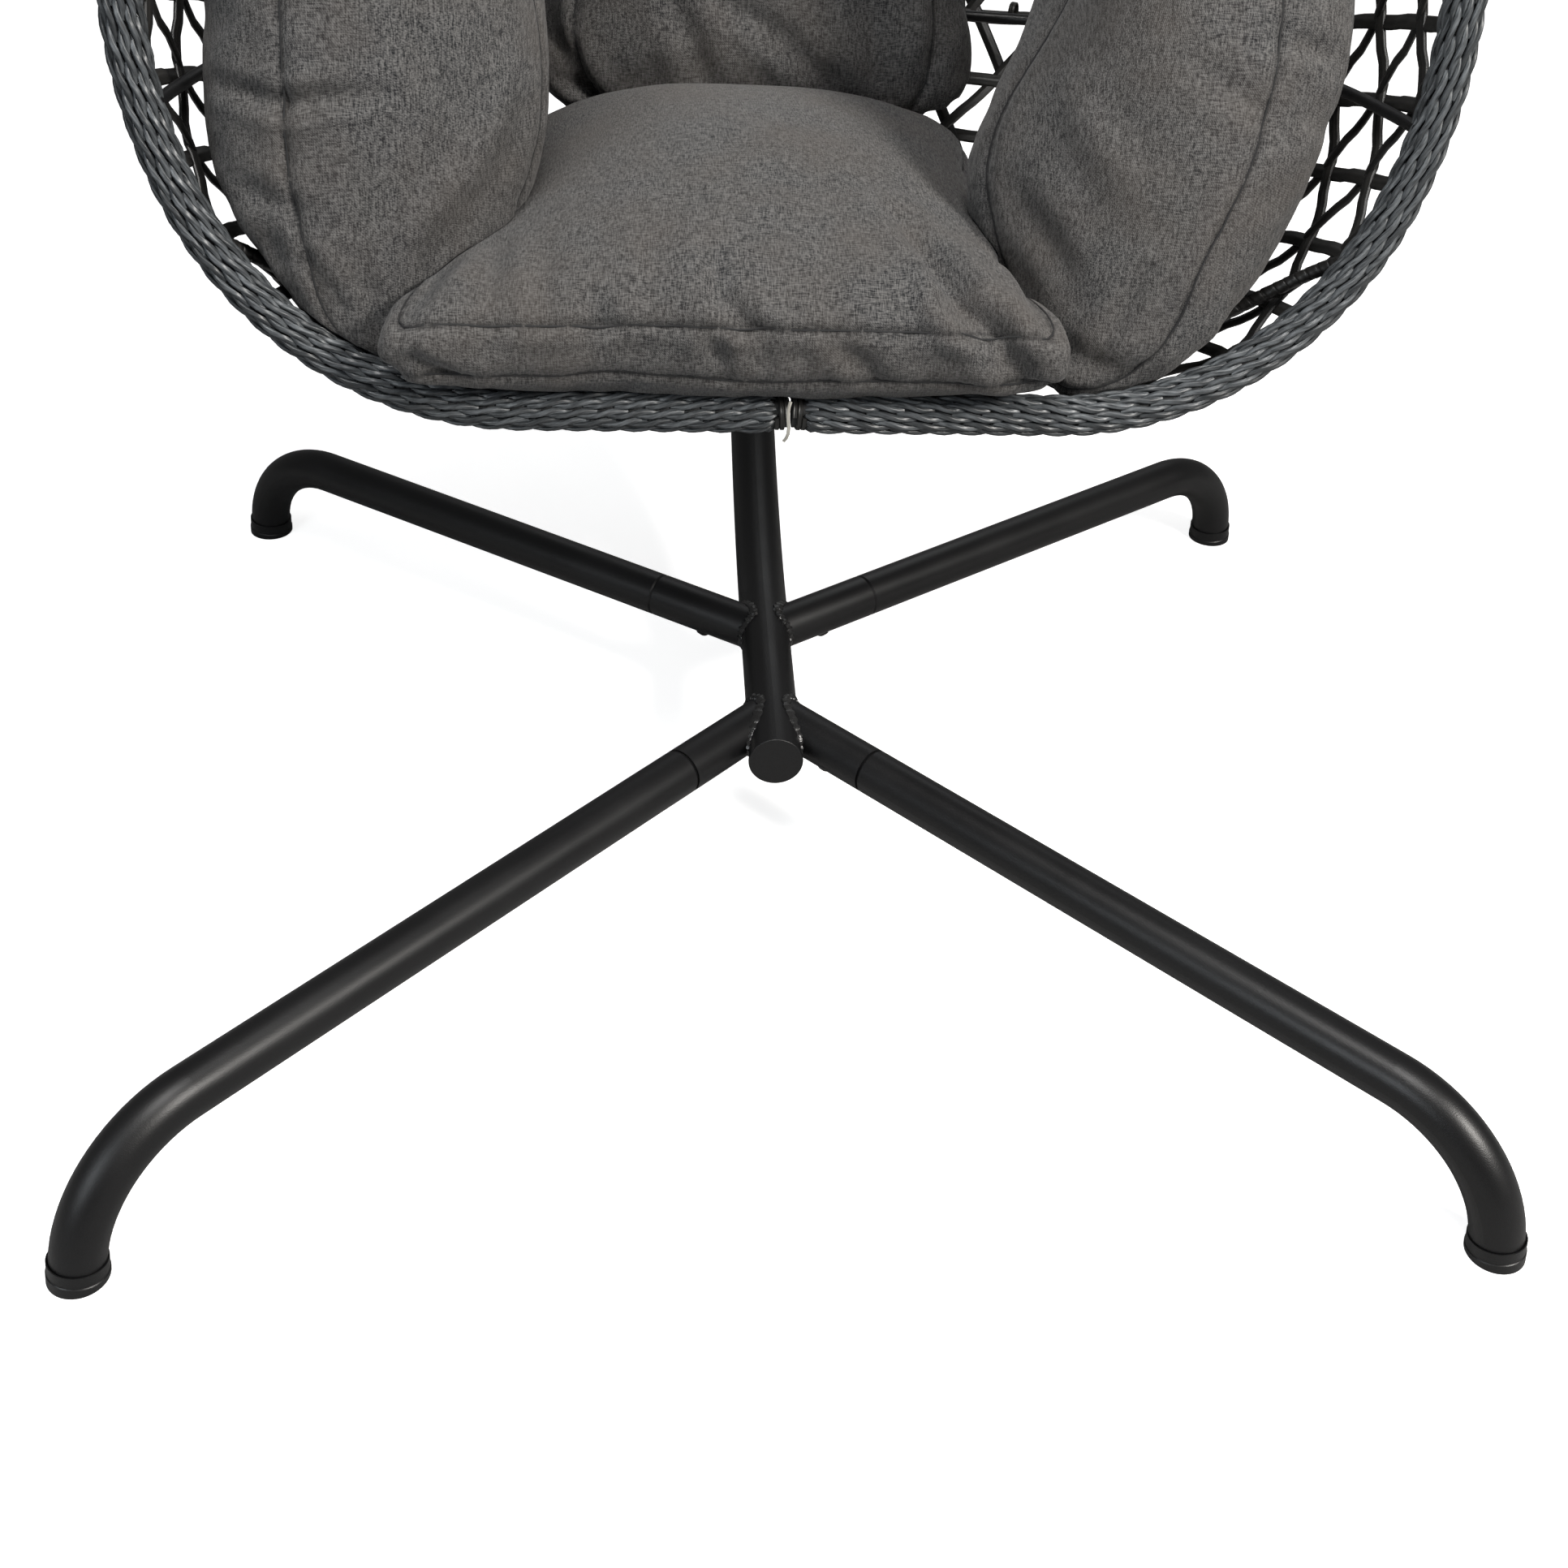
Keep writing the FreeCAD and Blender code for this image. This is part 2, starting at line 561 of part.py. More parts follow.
def egg_arcs():
    """Centre, radius and turn of each arc of the rim's right half, from the bottom to the top."""
    turn = math.radians(corner_deg)
    c2 = (rim_flat, corner_r)
    c3 = (c2[0] - (side_r - corner_r) * math.sin(turn), c2[1] + (side_r - corner_r) * math.cos(turn))
    widest = c3[0] + side_r
    k = widest - crown_flat - crown_r
    h = rim_height - c3[1] - crown_r
    d = (k * k + h * h) / (2 * k)
    upper_r = crown_r + d
    rise = math.atan2(h, d - k)
    c4 = (c3[0] + side_r - upper_r, c3[1])
    c5 = (crown_flat, rim_height - crown_r)
    return [(c2, corner_r, 0.0, turn), (c3, side_r, turn, math.pi / 2),
            (c4, upper_r, math.pi / 2, math.pi / 2 + rise), (c5, crown_r, math.pi / 2 + rise, math.pi)]


def rim_steps(side):
    """The rim's right or left half, from its bottom run to its top run, as bends."""
    steps = [(rim_flat - rim_turn_r - spine_x(),)]
    inwards = across * -side
    for (centre, radius, low, high), towards in zip(egg_arcs(), (rim_up, rim_up, inwards, inwards)):
        steps.append((radius, math.degrees(high - low), towards))
    steps.append((crown_flat - rim_turn_r - spine_x(),))
    return [s for s in steps if len(s) > 1 or s[0] > 0.01]


def spine_x():
    return lug_wall + rim_tube_d / 2


def depth_share(w, depth):
    s = min(w / depth, 0.9999)
    return (1 - s ** fullness) ** (1 / fullness)


def basket_point(u, v, w):
    return rim_origin + across * u + rim_up * v + rim_back * w


def egg_wire(inset, w, scale):
    """The rim's outline, moved inwards by inset and scaled towards the basket's middle."""
    def place(u, v):
        return basket_point(u * scale, middle_v + (v - middle_v) * scale, w)
    edges = []
    for side in (1, -1):
        half = [(place(0, inset), None, place(side * rim_flat, inset))]
        for centre, radius, low, high in egg_arcs():
            r = radius - inset
            marks = [place(side * (centre[0] + r * math.sin(a)), centre[1] - r * math.cos(a))
                     for a in (low, (low + high) / 2, high)]
            half.append(tuple(marks))
        half.append((place(side * crown_flat, rim_height - inset), None, place(0, rim_height - inset)))
        if side < 0:
            half = [(c, b, a) for a, b, c in reversed(half)]
        for a, b, c in half:
            edges.append((Part.Arc(a, b, c) if b else Part.LineSegment(a, c)).toShape())
    return Part.Wire(edges)


def egg_body(inset, fronts):
    """Everything inside the basket's surface at a given inset, behind the front outlines.

    Each front outline is an inset and a distance behind the rim's plane."""
    depth = basket_depth - inset
    wires = [egg_wire(rim_inset, w, depth_share(max(w, 0.0), depth)) for rim_inset, w in fronts]
    for s in (0.3, 0.5, 0.68, 0.82, 0.92, 0.975):
        wires.append(egg_wire(inset, s * depth, depth_share(s * depth, depth)))
    return Part.makeLoft(wires, True, False)


def egg_half_width(v, inset):
    """Half of the outline's width at height v."""
    for centre, radius, low, high in egg_arcs():
        r = radius - inset
        if centre[1] - r * math.cos(low) - 0.001 <= v <= centre[1] - r * math.cos(high) + 0.001:
            return centre[0] + math.sqrt(max(r * r - (v - centre[1]) ** 2, 0.0))
    return rim_flat if v < middle_v else crown_flat


def make_weave():
    body = egg_body(0.0, [(0.0, braid_d / 2 + skin_gap)])
    shell = body.cut(egg_body(weave_wall, [(weave_wall, 4.0)]))
    return {side: shell.common(half_space(side, gap=weave_split)) for side in (-1, 1)}


def deepest():
    return basket_depth * 0.975 - weave_wall - rim_tube_d / 2 - 3.0


def spine_points():
    """Route of a spine tube in the basket's middle plane: bottom, back, top."""
    depth = basket_depth - spine_inset
    marks = [120.0, 230.0, 330.0, 415.0, 485.0, 540.0]
    low, high = [], []
    for w in marks:
        k = depth_share(w, depth)
        low.append((middle_v - (middle_v - spine_inset) * k, w))
        high.append((middle_v + (rim_height - spine_inset - middle_v) * k, w))
    lead = 78.0
    points = [(0.0, spine_start_w), (spine_inset * 0.3, lead)] + low
    points += [(middle_v - 150.0, deepest()), (middle_v, deepest() + 1.0), (middle_v + 170.0, deepest())]
    points += high[::-1] + [(rim_height - spine_inset * 0.3, lead), (rim_height, spine_start_w)]
    return points


def make_frame():
    frames = {}
    for side in (-1, 1):
        x = side * spine_x()
        start = basket_point(x, 0, spine_start_w)
        turn_up = [(rim_turn_r, 90, across * side)]
        turn_back = [(rim_turn_r, 90, rim_back)]
        steps = turn_up + rim_steps(side) + turn_back
        rim, end, going = rod_along(start, -rim_back, steps, rim_tube_d)
        rim_bore = rod_along(start, -rim_back, steps, rim_tube_d - 2 * rim_tube_wall)[0]
        route = [basket_point(x, v, w) for v, w in spine_points()]
        spine_path = rounded_path(route)
        ahead = route[1] - route[0]
        spine = rod(spine_path, route[0], ahead, rim_tube_d)
        spine_bore = rod(spine_path, route[0], ahead, rim_tube_d - 2 * rim_tube_wall)
        frames[side] = (rim, rim_bore, spine, spine_bore)
    return frames


def make_ribs(side, rim, spine):
    depth = basket_depth - rib_inset
    rods = []
    for v in rib_heights:
        points = [(egg_half_width(v, rib_start_inset), 0.0), (egg_half_width(v, rib_start_inset + 2), 42.0)]
        for w in (130.0, 240.0, 345.0, 430.0, 500.0, 548.0):
            k = depth_share(w, depth)
            height = middle_v + (v - middle_v) / k
            if 0 < height < rim_height:
                points.append((egg_half_width(height, rib_inset) * k, w))
        last_w = min(depth * 0.985, deepest() + 3.0)
        reach = min(w for u, w in spine_profile(v))
        points = [p for p in points if p[1] < reach - 30 and p[0] > 60]
        points.append((min(points[-1][0] * 0.5, 120.0), min((points[-1][1] + 2 * reach) / 3 + 8, last_w)))
        points.append((spine_x(), reach))
        route = [basket_point(side * u, v, w) for u, w in points]
        rods.append(rod(rounded_path(route), route[0], route[1] - route[0], rib_d).cut(rim).cut(spine))
    return [one_solid(r) for r in rods]


def spine_profile(v):
    """Depth of the spine tubes' centre line at height v."""
    points = spine_points()
    found = []
    for (v0, w0), (v1, w1) in zip(points, points[1:]):
        if min(v0, v1) <= v <= max(v0, v1) and v0 != v1:
            found.append((v, w0 + (w1 - w0) * (v - v0) / (v1 - v0)))
    return found


def braid_steps(side):
    steps = rim_steps(side)
    extra = spine_x() + rim_turn_r - braid_end_x
    steps[0] = (steps[0][0] + extra,)
    if len(steps[-1]) == 1:
        steps[-1] = (steps[-1][0] + extra,)
    else:
        steps.append((extra,))
    return steps


def make_braid(side, rim, ribs):
    start = basket_point(side * braid_end_x, 0, 0)
    sleeve = rod_along(start, across * side, braid_steps(side), braid_d)[0].cut(rim)
    for rib in ribs:
        sleeve = sleeve.cut(rib)
    return one_solid(sleeve)


def bolt_places():
    """Points between the spine tubes where a bolt joins the basket's halves."""
    route = spine_points()
    marks = []
    for index in (2, 5, 9, 12):
        (v0, w0), (v1, w1) = route[index], route[index + 1]
        marks.append(((v0 + v1) / 2, (w0 + w1) / 2))
    return [basket_point(0, v, w) for v, w in marks]


def make_basket():
    frames = make_frame()
    weave = make_weave()
    lug_room = Part.makeBox(2 * (lug_wall + skin_gap), lug_width + 2 * skin_gap, 400,
                            Vector(-lug_wall - skin_gap, hang_y - lug_width / 2 - skin_gap,
                                   spine_top_z() - rim_tube_d / 2))
    bolts, nuts, spacers = [], [], []
    reach = spine_x() + rim_tube_d / 2
    holes = []
    for place in bolt_places():
        bolt, nut = bolt_and_nut(place - across * reach, across, 2 * reach, spine_bolt_d, spine_nut_flats,
                                 head_h, nut_h)
        bolts.append(bolt)
        nuts.append(nut)
        ring = cylinder(spacer_d / 2, 2 * lug_wall, place - across * lug_wall, across)
        spacers.append(ring.cut(cylinder(spine_bolt_d / 2, 2 * lug_wall, place - across * lug_wall, across)))
        holes.append(cylinder(spine_bolt_d / 2, 4 * reach, place - across * 2 * reach, across))
    for side in (-1, 1):
        rim, rim_bore, spine, spine_bore = frames[side]
        ribs = make_ribs(side, rim, spine)
        name = side_name[side]
        tube = spine.cut(spine_bore)
        for hole in holes:
            tube = tube.cut(hole)
        shapes["rim_tube_" + name] = one_solid(rim.cut(rim_bore))
        shapes["spine_tube_" + name] = one_solid(tube)
        shapes["ribs_" + name] = Part.makeCompound(ribs)
        shapes["rim_braid_" + name] = make_braid(side, rim, ribs)
        shapes["weave_" + name] = one_solid(weave[side].cut(spine).cut(rim).cut(lug_room))
    shapes["spine_bolts"] = Part.makeCompound(bolts)
    shapes["spine_nuts"] = Part.makeCompound(nuts)
    shapes["spine_spacers"] = Part.makeCompound(spacers)


def spine_top_z():
    """Height of the spine tubes' centre line below the hanging eye."""
    points = [basket_point(0, v, w) for v, w in spine_points()]
    for a, b in zip(points, points[1:]):
        if a.z > base_axis_z + middle_v and min(a.y, b.y) <= hang_y <= max(a.y, b.y):
            return a.z + (b.z - a.z) * (hang_y - a.y) / (b.y - a.y)


def make_lugs(bolt_z):
    """Two plates welded to the spine tubes, bolted together by the swivel's fork."""
    low = spine_top_z() - rim_tube_d / 2
    for side in (-1, 1):
        at = 0.0 if side > 0 else -lug_wall
        eye = Vector(at, hang_y, bolt_z)
        plate = Part.makeBox(lug_wall, lug_width, bolt_z - low, Vector(at, hang_y - lug_width / 2, low))
        plate = plate.fuse(cylinder(lug_round_r, lug_wall, eye, across))
        plate = plate.cut(cylinder(fork_bolt_d / 2 + bolt_hole_gap, lug_wall, eye, across))
        shapes["crown_lug_" + side_name[side]] = one_solid(plate)
    print("crown: spine at z %.1f, bolt at z %.1f" % (low + rim_tube_d / 2, bolt_z))


# Cushions

def pillow_section(centre, wide, high, half_w, edge, low_crown, high_crown):
    """A pad's outline: two crowned faces and two rounded sides, as four arcs."""
    def place(a, b):
        return centre + wide * a + high * b
    e = edge / 2
    left, right = -half_w, half_w
    bulge = edge * 0.32
    arcs = [(place(left, -e), place(0, -e - low_crown), place(right, -e)),
            (place(right, -e), place(right + bulge, 0), place(right, e)),
            (place(right, e), place(0, e + high_crown), place(left, e)),
            (place(left, e), place(left - bulge, 0), place(left, -e))]
    return Part.Wire([Part.Arc(*a).toShape() for a in arcs])


def plumpness(t):
    """How full a stuffed pad is at a share t of its length."""
    return (1 - abs(2 * t - 1) ** 4.0) ** 0.5


def make_seat():
    rest_z = rim_bottom_z + braid_d / 2 + skin_gap - seat_press
    wires = []
    for t in (0.0, 0.05, 0.2, 0.5, 0.8, 0.95, 1.0):
        y = seat_front_y + (seat_back_y - seat_front_y) * t
        x = seat_front_x + (seat_back_x - seat_front_x) * t
        half = seat_front_half + (seat_back_half - seat_front_half) * t
        half -= seat_draw_in * (1 - (2 * t - 1) ** 2) + (1 - plumpness(t)) * 10
        edge = seat_edge * (0.62 + 0.38 * plumpness(t))
        crown = seat_crown * (0.08 + 0.92 * (1 - (2 * t - 1) ** 2))
        centre = Vector(x, y, rest_z + seat_sag + seat_edge / 2)
        wires.append(pillow_section(centre, across, up, half, edge, seat_sag, crown))
    return Part.makeLoft(wires, True, False)


def upright_pad(foot, knee, head, wide, half_w, half_t, foot_share, head_share):
    """A stuffed pad that stands on its end, bent through three points: sections up its length."""
    along = unit(head - foot)
    wide = unit(wide - along * along.dot(wide))
    thick = unit(along.cross(wide))
    wires = []
    for t in (0.0, 0.05, 0.18, 0.5, 0.82, 0.95, 1.0):
        at = foot * ((1 - t) * (1 - 2 * t)) + knee * (4 * t * (1 - t)) + head * (t * (2 * t - 1))
        plump = plumpness(t)
        share, spread = head_share, plump
        if t < 0.5:
            share, spread = foot_share, (1 - abs(2 * t - 1) ** 2.4) ** 0.5
        half = half_w * (share + (1 - share) * spread) * (1 - 0.05 * (1 - (2 * t - 1) ** 2))
        edge = half_t * 0.8 * (0.35 + 0.65 * plump)
        crown = max(half_t * (0.08 + 0.92 * plump) - edge / 2, 4.0)
        wires.append(pillow_section(at, wide, thick, half - edge * 0.32, edge, crown, crown))
    return Part.makeLoft(wires, True, False)


def make_cushions():
    mouth = [(mouth_inset, -mouth_reach), (mouth_inset, 0.0), (mouth_inset + 4.0, 40.0)]
    room = egg_body(cushion_inset, mouth)
    floor_z = rim_bottom_z + braid_d / 2 + skin_gap
    low_front = Vector(-700, seat_front_y - 100, floor_z)
    low_middle = Vector(-700, seat_low_y, floor_z + seat_over_spine)
    front = Part.makeBox(1400, seat_low_y - low_front.y, 500, low_front)
    middle = Part.makeBox(1400, seat_middle_y - seat_low_y, 500, low_middle)
    seat = make_seat().common(room.fuse([front, middle]))
    for side in (-1, 1):
        start = basket_point(side * braid_end_x, 0, 0)
        guard = rod_along(start, across * side, braid_steps(side), braid_d + 2 * skin_gap)[0]
        seat = seat.cut(guard)
    pads = {"seat_cushion": one_solid(seat)}
    for side, foot, knee, head in zip((-1, 1), bolster_feet, bolster_knees, bolster_heads):
        turn = math.radians(bolster_turn_deg)
        wide = Vector(-side * math.cos(turn), math.sin(turn), 0)
        pad = upright_pad(foot, knee, head, wide, bolster_half_wide, bolster_half_thick,
                          bolster_foot_share, bolster_head_share)
        pads["bolster_" + side_name[side]] = pad.common(room).cut(pads["seat_cushion"])
    tip = math.radians(back_lean_deg)
    along = Vector(0, math.sin(tip), math.cos(tip))
    rest = upright_pad(back_foot, back_foot + along * (back_height / 2), back_foot + along * back_height,
                       across, back_half, back_thick / 2, back_foot_share, back_head_share)
    rest = rest.common(egg_body(back_inset, [(back_inset, 60.0)]))
    for name in ("seat_cushion", "bolster_left", "bolster_right"):
        rest = rest.cut(pads[name])
    pads["back_cushion"] = rest
    for name, pad in pads.items():
        shapes[name] = one_solid(pad)


def export_all():
    """Move the model so that its origin is at the middle of its footprint, and write each part."""
    box = Part.makeCompound(list(shapes.values())).optimalBoundingBox()
    move = Vector(-(box.XMin + box.XMax) / 2, -(box.YMin + box.YMax) / 2, -box.ZMin)
    os.makedirs("parts", exist_ok=True)
    for name, shape in shapes.items():
        shape = shape.copy()
        shape.translate(move)
        shape.exportStep("parts/" + name + ".step")
    print("moved by %.3f %.3f %.3f" % (move.x, move.y, move.z))
    print("size %.1f %.1f %.1f" % (box.XLength, box.YLength, box.ZLength))


make_stand()
make_basket()
make_cushions()
export_all()
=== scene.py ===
import bpy
import json
import math
from mathutils import Matrix, Vector, kdtree, noise
from mathutils.bvhtree import BVHTree


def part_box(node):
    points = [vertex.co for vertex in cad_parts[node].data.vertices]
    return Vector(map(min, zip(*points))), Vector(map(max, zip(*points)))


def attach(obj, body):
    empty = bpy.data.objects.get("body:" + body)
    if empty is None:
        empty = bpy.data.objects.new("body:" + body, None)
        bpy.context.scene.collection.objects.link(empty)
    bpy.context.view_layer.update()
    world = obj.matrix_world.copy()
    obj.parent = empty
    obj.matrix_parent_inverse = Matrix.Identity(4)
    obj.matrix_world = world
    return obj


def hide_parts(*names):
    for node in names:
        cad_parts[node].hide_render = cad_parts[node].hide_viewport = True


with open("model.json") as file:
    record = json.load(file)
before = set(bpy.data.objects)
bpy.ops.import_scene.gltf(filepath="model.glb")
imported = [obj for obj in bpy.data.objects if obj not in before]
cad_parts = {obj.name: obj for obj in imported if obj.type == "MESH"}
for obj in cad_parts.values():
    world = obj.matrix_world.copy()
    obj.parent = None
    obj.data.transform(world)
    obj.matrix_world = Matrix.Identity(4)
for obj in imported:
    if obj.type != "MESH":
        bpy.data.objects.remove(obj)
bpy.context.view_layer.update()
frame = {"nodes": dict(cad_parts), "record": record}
nodes = frame["nodes"]
print("frame loaded:", len(nodes), "nodes")


def deselectAll():
    for picked in list(bpy.context.selected_objects):
        picked.select_set(False)


def makeActive(thing):
    deselectAll()
    thing.select_set(True)
    bpy.context.view_layer.objects.active = thing


deselectAll()


def put(tree, kind, values=None, **settings):  # adds a node, sets it, and joins or fills its inputs
    node = tree.nodes.new(kind)
    for key, value in settings.items():
        setattr(node, key, value)
    for key, value in (values or {}).items():
        if isinstance(value, bpy.types.NodeSocket):
            tree.links.new(value, node.inputs[key])
        else:
            node.inputs[key].default_value = value
    return node


def calc(tree, operation, *values):  # the result of a math node
    return put(tree, "ShaderNodeMath", dict(enumerate(values)), operation=operation).outputs[0]


# camera, lights and floor

view = dict(
    place=(-0.11727, -1.66212, 1.22483), lens=47.0, sensor=36.0, farClip=50.0,
    right=(0.99775, -0.05355, 0.04044), up=(0.00087, 0.61289, 0.79017), back=(-0.0671, -0.78835, 0.61156))
lamps = [  # place, aimed at, size, watts, colour
    ((2.1, -2.0, 2.4), (-0.1, -0.2, 0.5), 0.8, 124, (1.0, 0.965, 0.92)),
    ((-1.9, -2.1, 1.5), (0, -0.1, 0.5), 1.3, 24, (0.9, 0.955, 1.0)),
    ((-0.1, -0.9, 3.2), (0, 0, 0.4), 1.3, 60, (1.0, 0.985, 0.97)),
    ((0.4, 2.4, 2.2), (0, 0, 0.9), 1.8, 7, (0.97, 0.985, 1.0))]
stageLook = dict(worldGrey=0.12, floorGrey=0.84, floorBounce=0.3, floorLift=0.8, floorSize=16.0,
                 floorZ=-0.0005, floorRough=0.9)


def addCamera():
    bpy.ops.object.camera_add()
    cam = bpy.context.object
    cam.name = "photo_camera"
    axes = Matrix((view["right"], view["up"], view["back"])).transposed().to_4x4()
    cam.matrix_world = Matrix.Translation(view["place"]) @ axes
    cam.data.lens = view["lens"]
    cam.data.sensor_width = view["sensor"]
    cam.data.clip_end = view["farClip"]
    bpy.context.scene.camera = cam


def addLamps():
    for number, (place, aim, size, watts, colour) in enumerate(lamps):
        bpy.ops.object.light_add(type="AREA", location=place)
        lamp = bpy.context.object
        lamp.name = "soft_lamp_%d" % number
        lamp.rotation_euler = (Vector(aim) - Vector(place)).to_track_quat("-Z", "Y").to_euler()
        lamp.data.shape = "DISK"
        lamp.data.size = size
        lamp.data.energy = watts
        lamp.data.color = colour


def addWorld():
    world = bpy.data.worlds.new("studio")
    world.use_nodes = True
    bpy.context.scene.world = world
    tree = world.node_tree
    plain = tree.nodes["Background"]
    plain.inputs["Color"].default_value = (stageLook["worldGrey"],) * 3 + (1.0,)
    seen = put(tree, "ShaderNodeBackground", {"Color": (1, 1, 1, 1)})
    direct = put(tree, "ShaderNodeLightPath").outputs["Is Camera Ray"]
    mix = put(tree, "ShaderNodeMixShader", {0: direct, 1: plain.outputs[0], 2: seen.outputs[0]})
    tree.links.new(mix.outputs[0], tree.nodes["World Output"].inputs["Surface"])


def addFloor():
    bpy.ops.mesh.primitive_plane_add(size=stageLook["floorSize"], location=(0, 0, stageLook["floorZ"]))
    floor = bpy.context.object
    floor.name = "studio_floor"
    mat = bpy.data.materials.new("pale_floor")
    mat.use_nodes = True
    tree = mat.node_tree
    shader = tree.nodes["Principled BSDF"]
    shader.inputs["Roughness"].default_value = stageLook["floorRough"]
    shader.inputs["Emission Color"].default_value = (1, 1, 1, 1)
    direct = put(tree, "ShaderNodeLightPath").outputs["Is Camera Ray"]
    bounce = put(tree, "ShaderNodeMapRange", {"Value": direct, "To Min": stageLook["floorBounce"],
                                              "To Max": stageLook["floorGrey"]})
    tree.links.new(bounce.outputs[0], shader.inputs["Base Color"])
    lift = calc(tree, "MULTIPLY", direct, stageLook["floorLift"])
    tree.links.new(lift, shader.inputs["Emission Strength"])
    floor.data.materials.append(mat)


addCamera()
addLamps()
addWorld()
addFloor()
bpy.context.scene.view_settings.view_transform = "Standard"
print("camera, lamps and floor set")


# finishes

def colour(red, green, blue):  # a colour as a screen shows it, 0 to 255, made linear
    channels = []
    for part in (red, green, blue):
        part /= 255.0
        channels.append(part / 12.92 if part <= 0.04045 else ((part + 0.055) / 1.055) ** 2.4)
    return tuple(channels) + (1.0,)


def newGroup(name, **inputs):
    group = bpy.data.node_groups.new(name, "ShaderNodeTree")
    for label, value in inputs.items():
        socket = group.interface.new_socket(name=label, in_out="INPUT", socket_type="NodeSocketFloat")
        socket.default_value = value
    return group, group.nodes.new("NodeGroupInput").outputs


def closeGroup(group, **results):
    for label in results:
        group.interface.new_socket(name=label, in_out="OUTPUT", socket_type="NodeSocketFloat")
    put(group, "NodeGroupOutput", results)
    return group


def mixColours(tree, share, *pair):  # each of the pair is a socket or a colour from 0 to 255
    first, second = (colour(*one) if isinstance(one, tuple) else one for one in pair)
    return put(tree, "ShaderNodeMix", {0: share, 6: first, 7: second}, data_type="RGBA").outputs[2]


# the seam keys set the painted shade along the cushions' seams, the strength and the colour it darkens to
groupLook = dict(streakAcross=7.0, streakFrom=0.35, streakTo=0.75, twillShare=0.35, seamShade=0.75,
                 seamShadeColour=(18, 18, 19), strandBump=0.0003, clothBump=0.0006)


def grainGroup():  # fine powder coat: a pebbled height and a slow change of gloss
    group, given = newGroup("coatGrain", Size=900.0, Patch=9.0)
    place = put(group, "ShaderNodeTexCoord").outputs["Object"]
    fine = put(group, "ShaderNodeTexNoise", {"Vector": place, "Scale": given["Size"], "Detail": 2.0})
    slow = put(group, "ShaderNodeTexNoise", {"Vector": place, "Scale": given["Patch"], "Detail": 3.0})
    gloss = put(group, "ShaderNodeMapRange",
                {"Value": slow.outputs["Fac"], "From Min": 0.3, "From Max": 0.7})
    return closeGroup(group, Height=fine.outputs["Fac"], Gloss=gloss.outputs[0], Tone=slow.outputs["Fac"])


def strandGroup():  # extruded strands: ribs that run along them, and a tone for each strand
    group, given = newGroup("strandRibs", Ribs=5.0, Streak=70.0)
    uv = put(group, "ShaderNodeUVMap", uv_map="UVMap").outputs["UV"]
    parts = put(group, "ShaderNodeSeparateXYZ", {0: uv}).outputs
    turns = calc(group, "MULTIPLY", parts["Y"], given["Ribs"])
    ridge = calc(group, "SINE", calc(group, "MULTIPLY", turns, 2 * math.pi))
    number = calc(group, "FLOOR", parts["Y"])
    tone = put(group, "ShaderNodeTexWhiteNoise", {"W": number}, noise_dimensions="1D")
    along = calc(group, "MULTIPLY", parts["X"], given["Streak"])
    across = calc(group, "MULTIPLY", parts["Y"], groupLook["streakAcross"])
    spot = put(group, "ShaderNodeCombineXYZ", {0: along, 1: across})
    streaks = put(group, "ShaderNodeTexNoise", {"Vector": spot.outputs[0], "Scale": 1.0, "Detail": 4.0})
    return closeGroup(group, Height=ridge, Tone=tone.outputs["Value"], Streaks=streaks.outputs["Fac"])


def twillGroup():  # woven cloth of mixed yarns: slubs both ways, a diagonal twill, and patches
    group, given = newGroup("heatherTwill", Yarn=980.0, Slub=150.0)
    place = put(group, "ShaderNodeTexCoord").outputs["Object"]
    yarn, slub = given["Yarn"], given["Slub"]
    acrossScale = put(group, "ShaderNodeCombineXYZ", {0: slub, 1: yarn, 2: yarn})
    downScale = put(group, "ShaderNodeCombineXYZ", {0: yarn, 1: slub, 2: slub})
    picks = []
    for scale in (acrossScale, downScale):
        spot = put(group, "ShaderNodeVectorMath", {0: place, 1: scale.outputs[0]}, operation="MULTIPLY")
        pick = put(group, "ShaderNodeTexNoise",
                   {"Vector": spot.outputs[0], "Scale": 1.0, "Detail": 2.5, "Roughness": 0.6})
        picks.append(pick.outputs["Fac"])
    patch = put(group, "ShaderNodeTexNoise", {"Vector": place, "Scale": 14.0, "Detail": 3.0})
    turned = put(group, "ShaderNodeMapping", {"Vector": place, "Rotation": (0.62, 0.35, 0.78)})
    twill = put(group, "ShaderNodeTexWave", {"Vector": turned.outputs[0], "Scale": 240.0, "Distortion": 1.0,
                                             "Detail": 1.0, "Detail Scale": 2.0})
    both = calc(group, "ADD", *picks)
    height = calc(group, "MULTIPLY_ADD", twill.outputs["Fac"], groupLook["twillShare"], both)
    return closeGroup(group, Across=picks[0], Down=picks[1], Patch=patch.outputs["Fac"], Height=height)


coatGrain = grainGroup()
strandRibs = strandGroup()
heatherTwill = twillGroup()


def newMaterial(name, roughness, metallic=0.0, **fixed):
    mat = bpy.data.materials.new(name)
    mat.use_nodes = True
    shader = mat.node_tree.nodes["Principled BSDF"]
    shader.inputs["Roughness"].default_value = roughness
    shader.inputs["Metallic"].default_value = metallic
    for key, value in fixed.items():
        shader.inputs[key.replace("_", " ")].default_value = value
    return mat, mat.node_tree, shader


def addBump(tree, shader, height, strength, distance):
    bump = put(tree, "ShaderNodeBump", {"Strength": strength, "Distance": distance, "Height": height})
    tree.links.new(bump.outputs["Normal"], shader.inputs["Normal"])


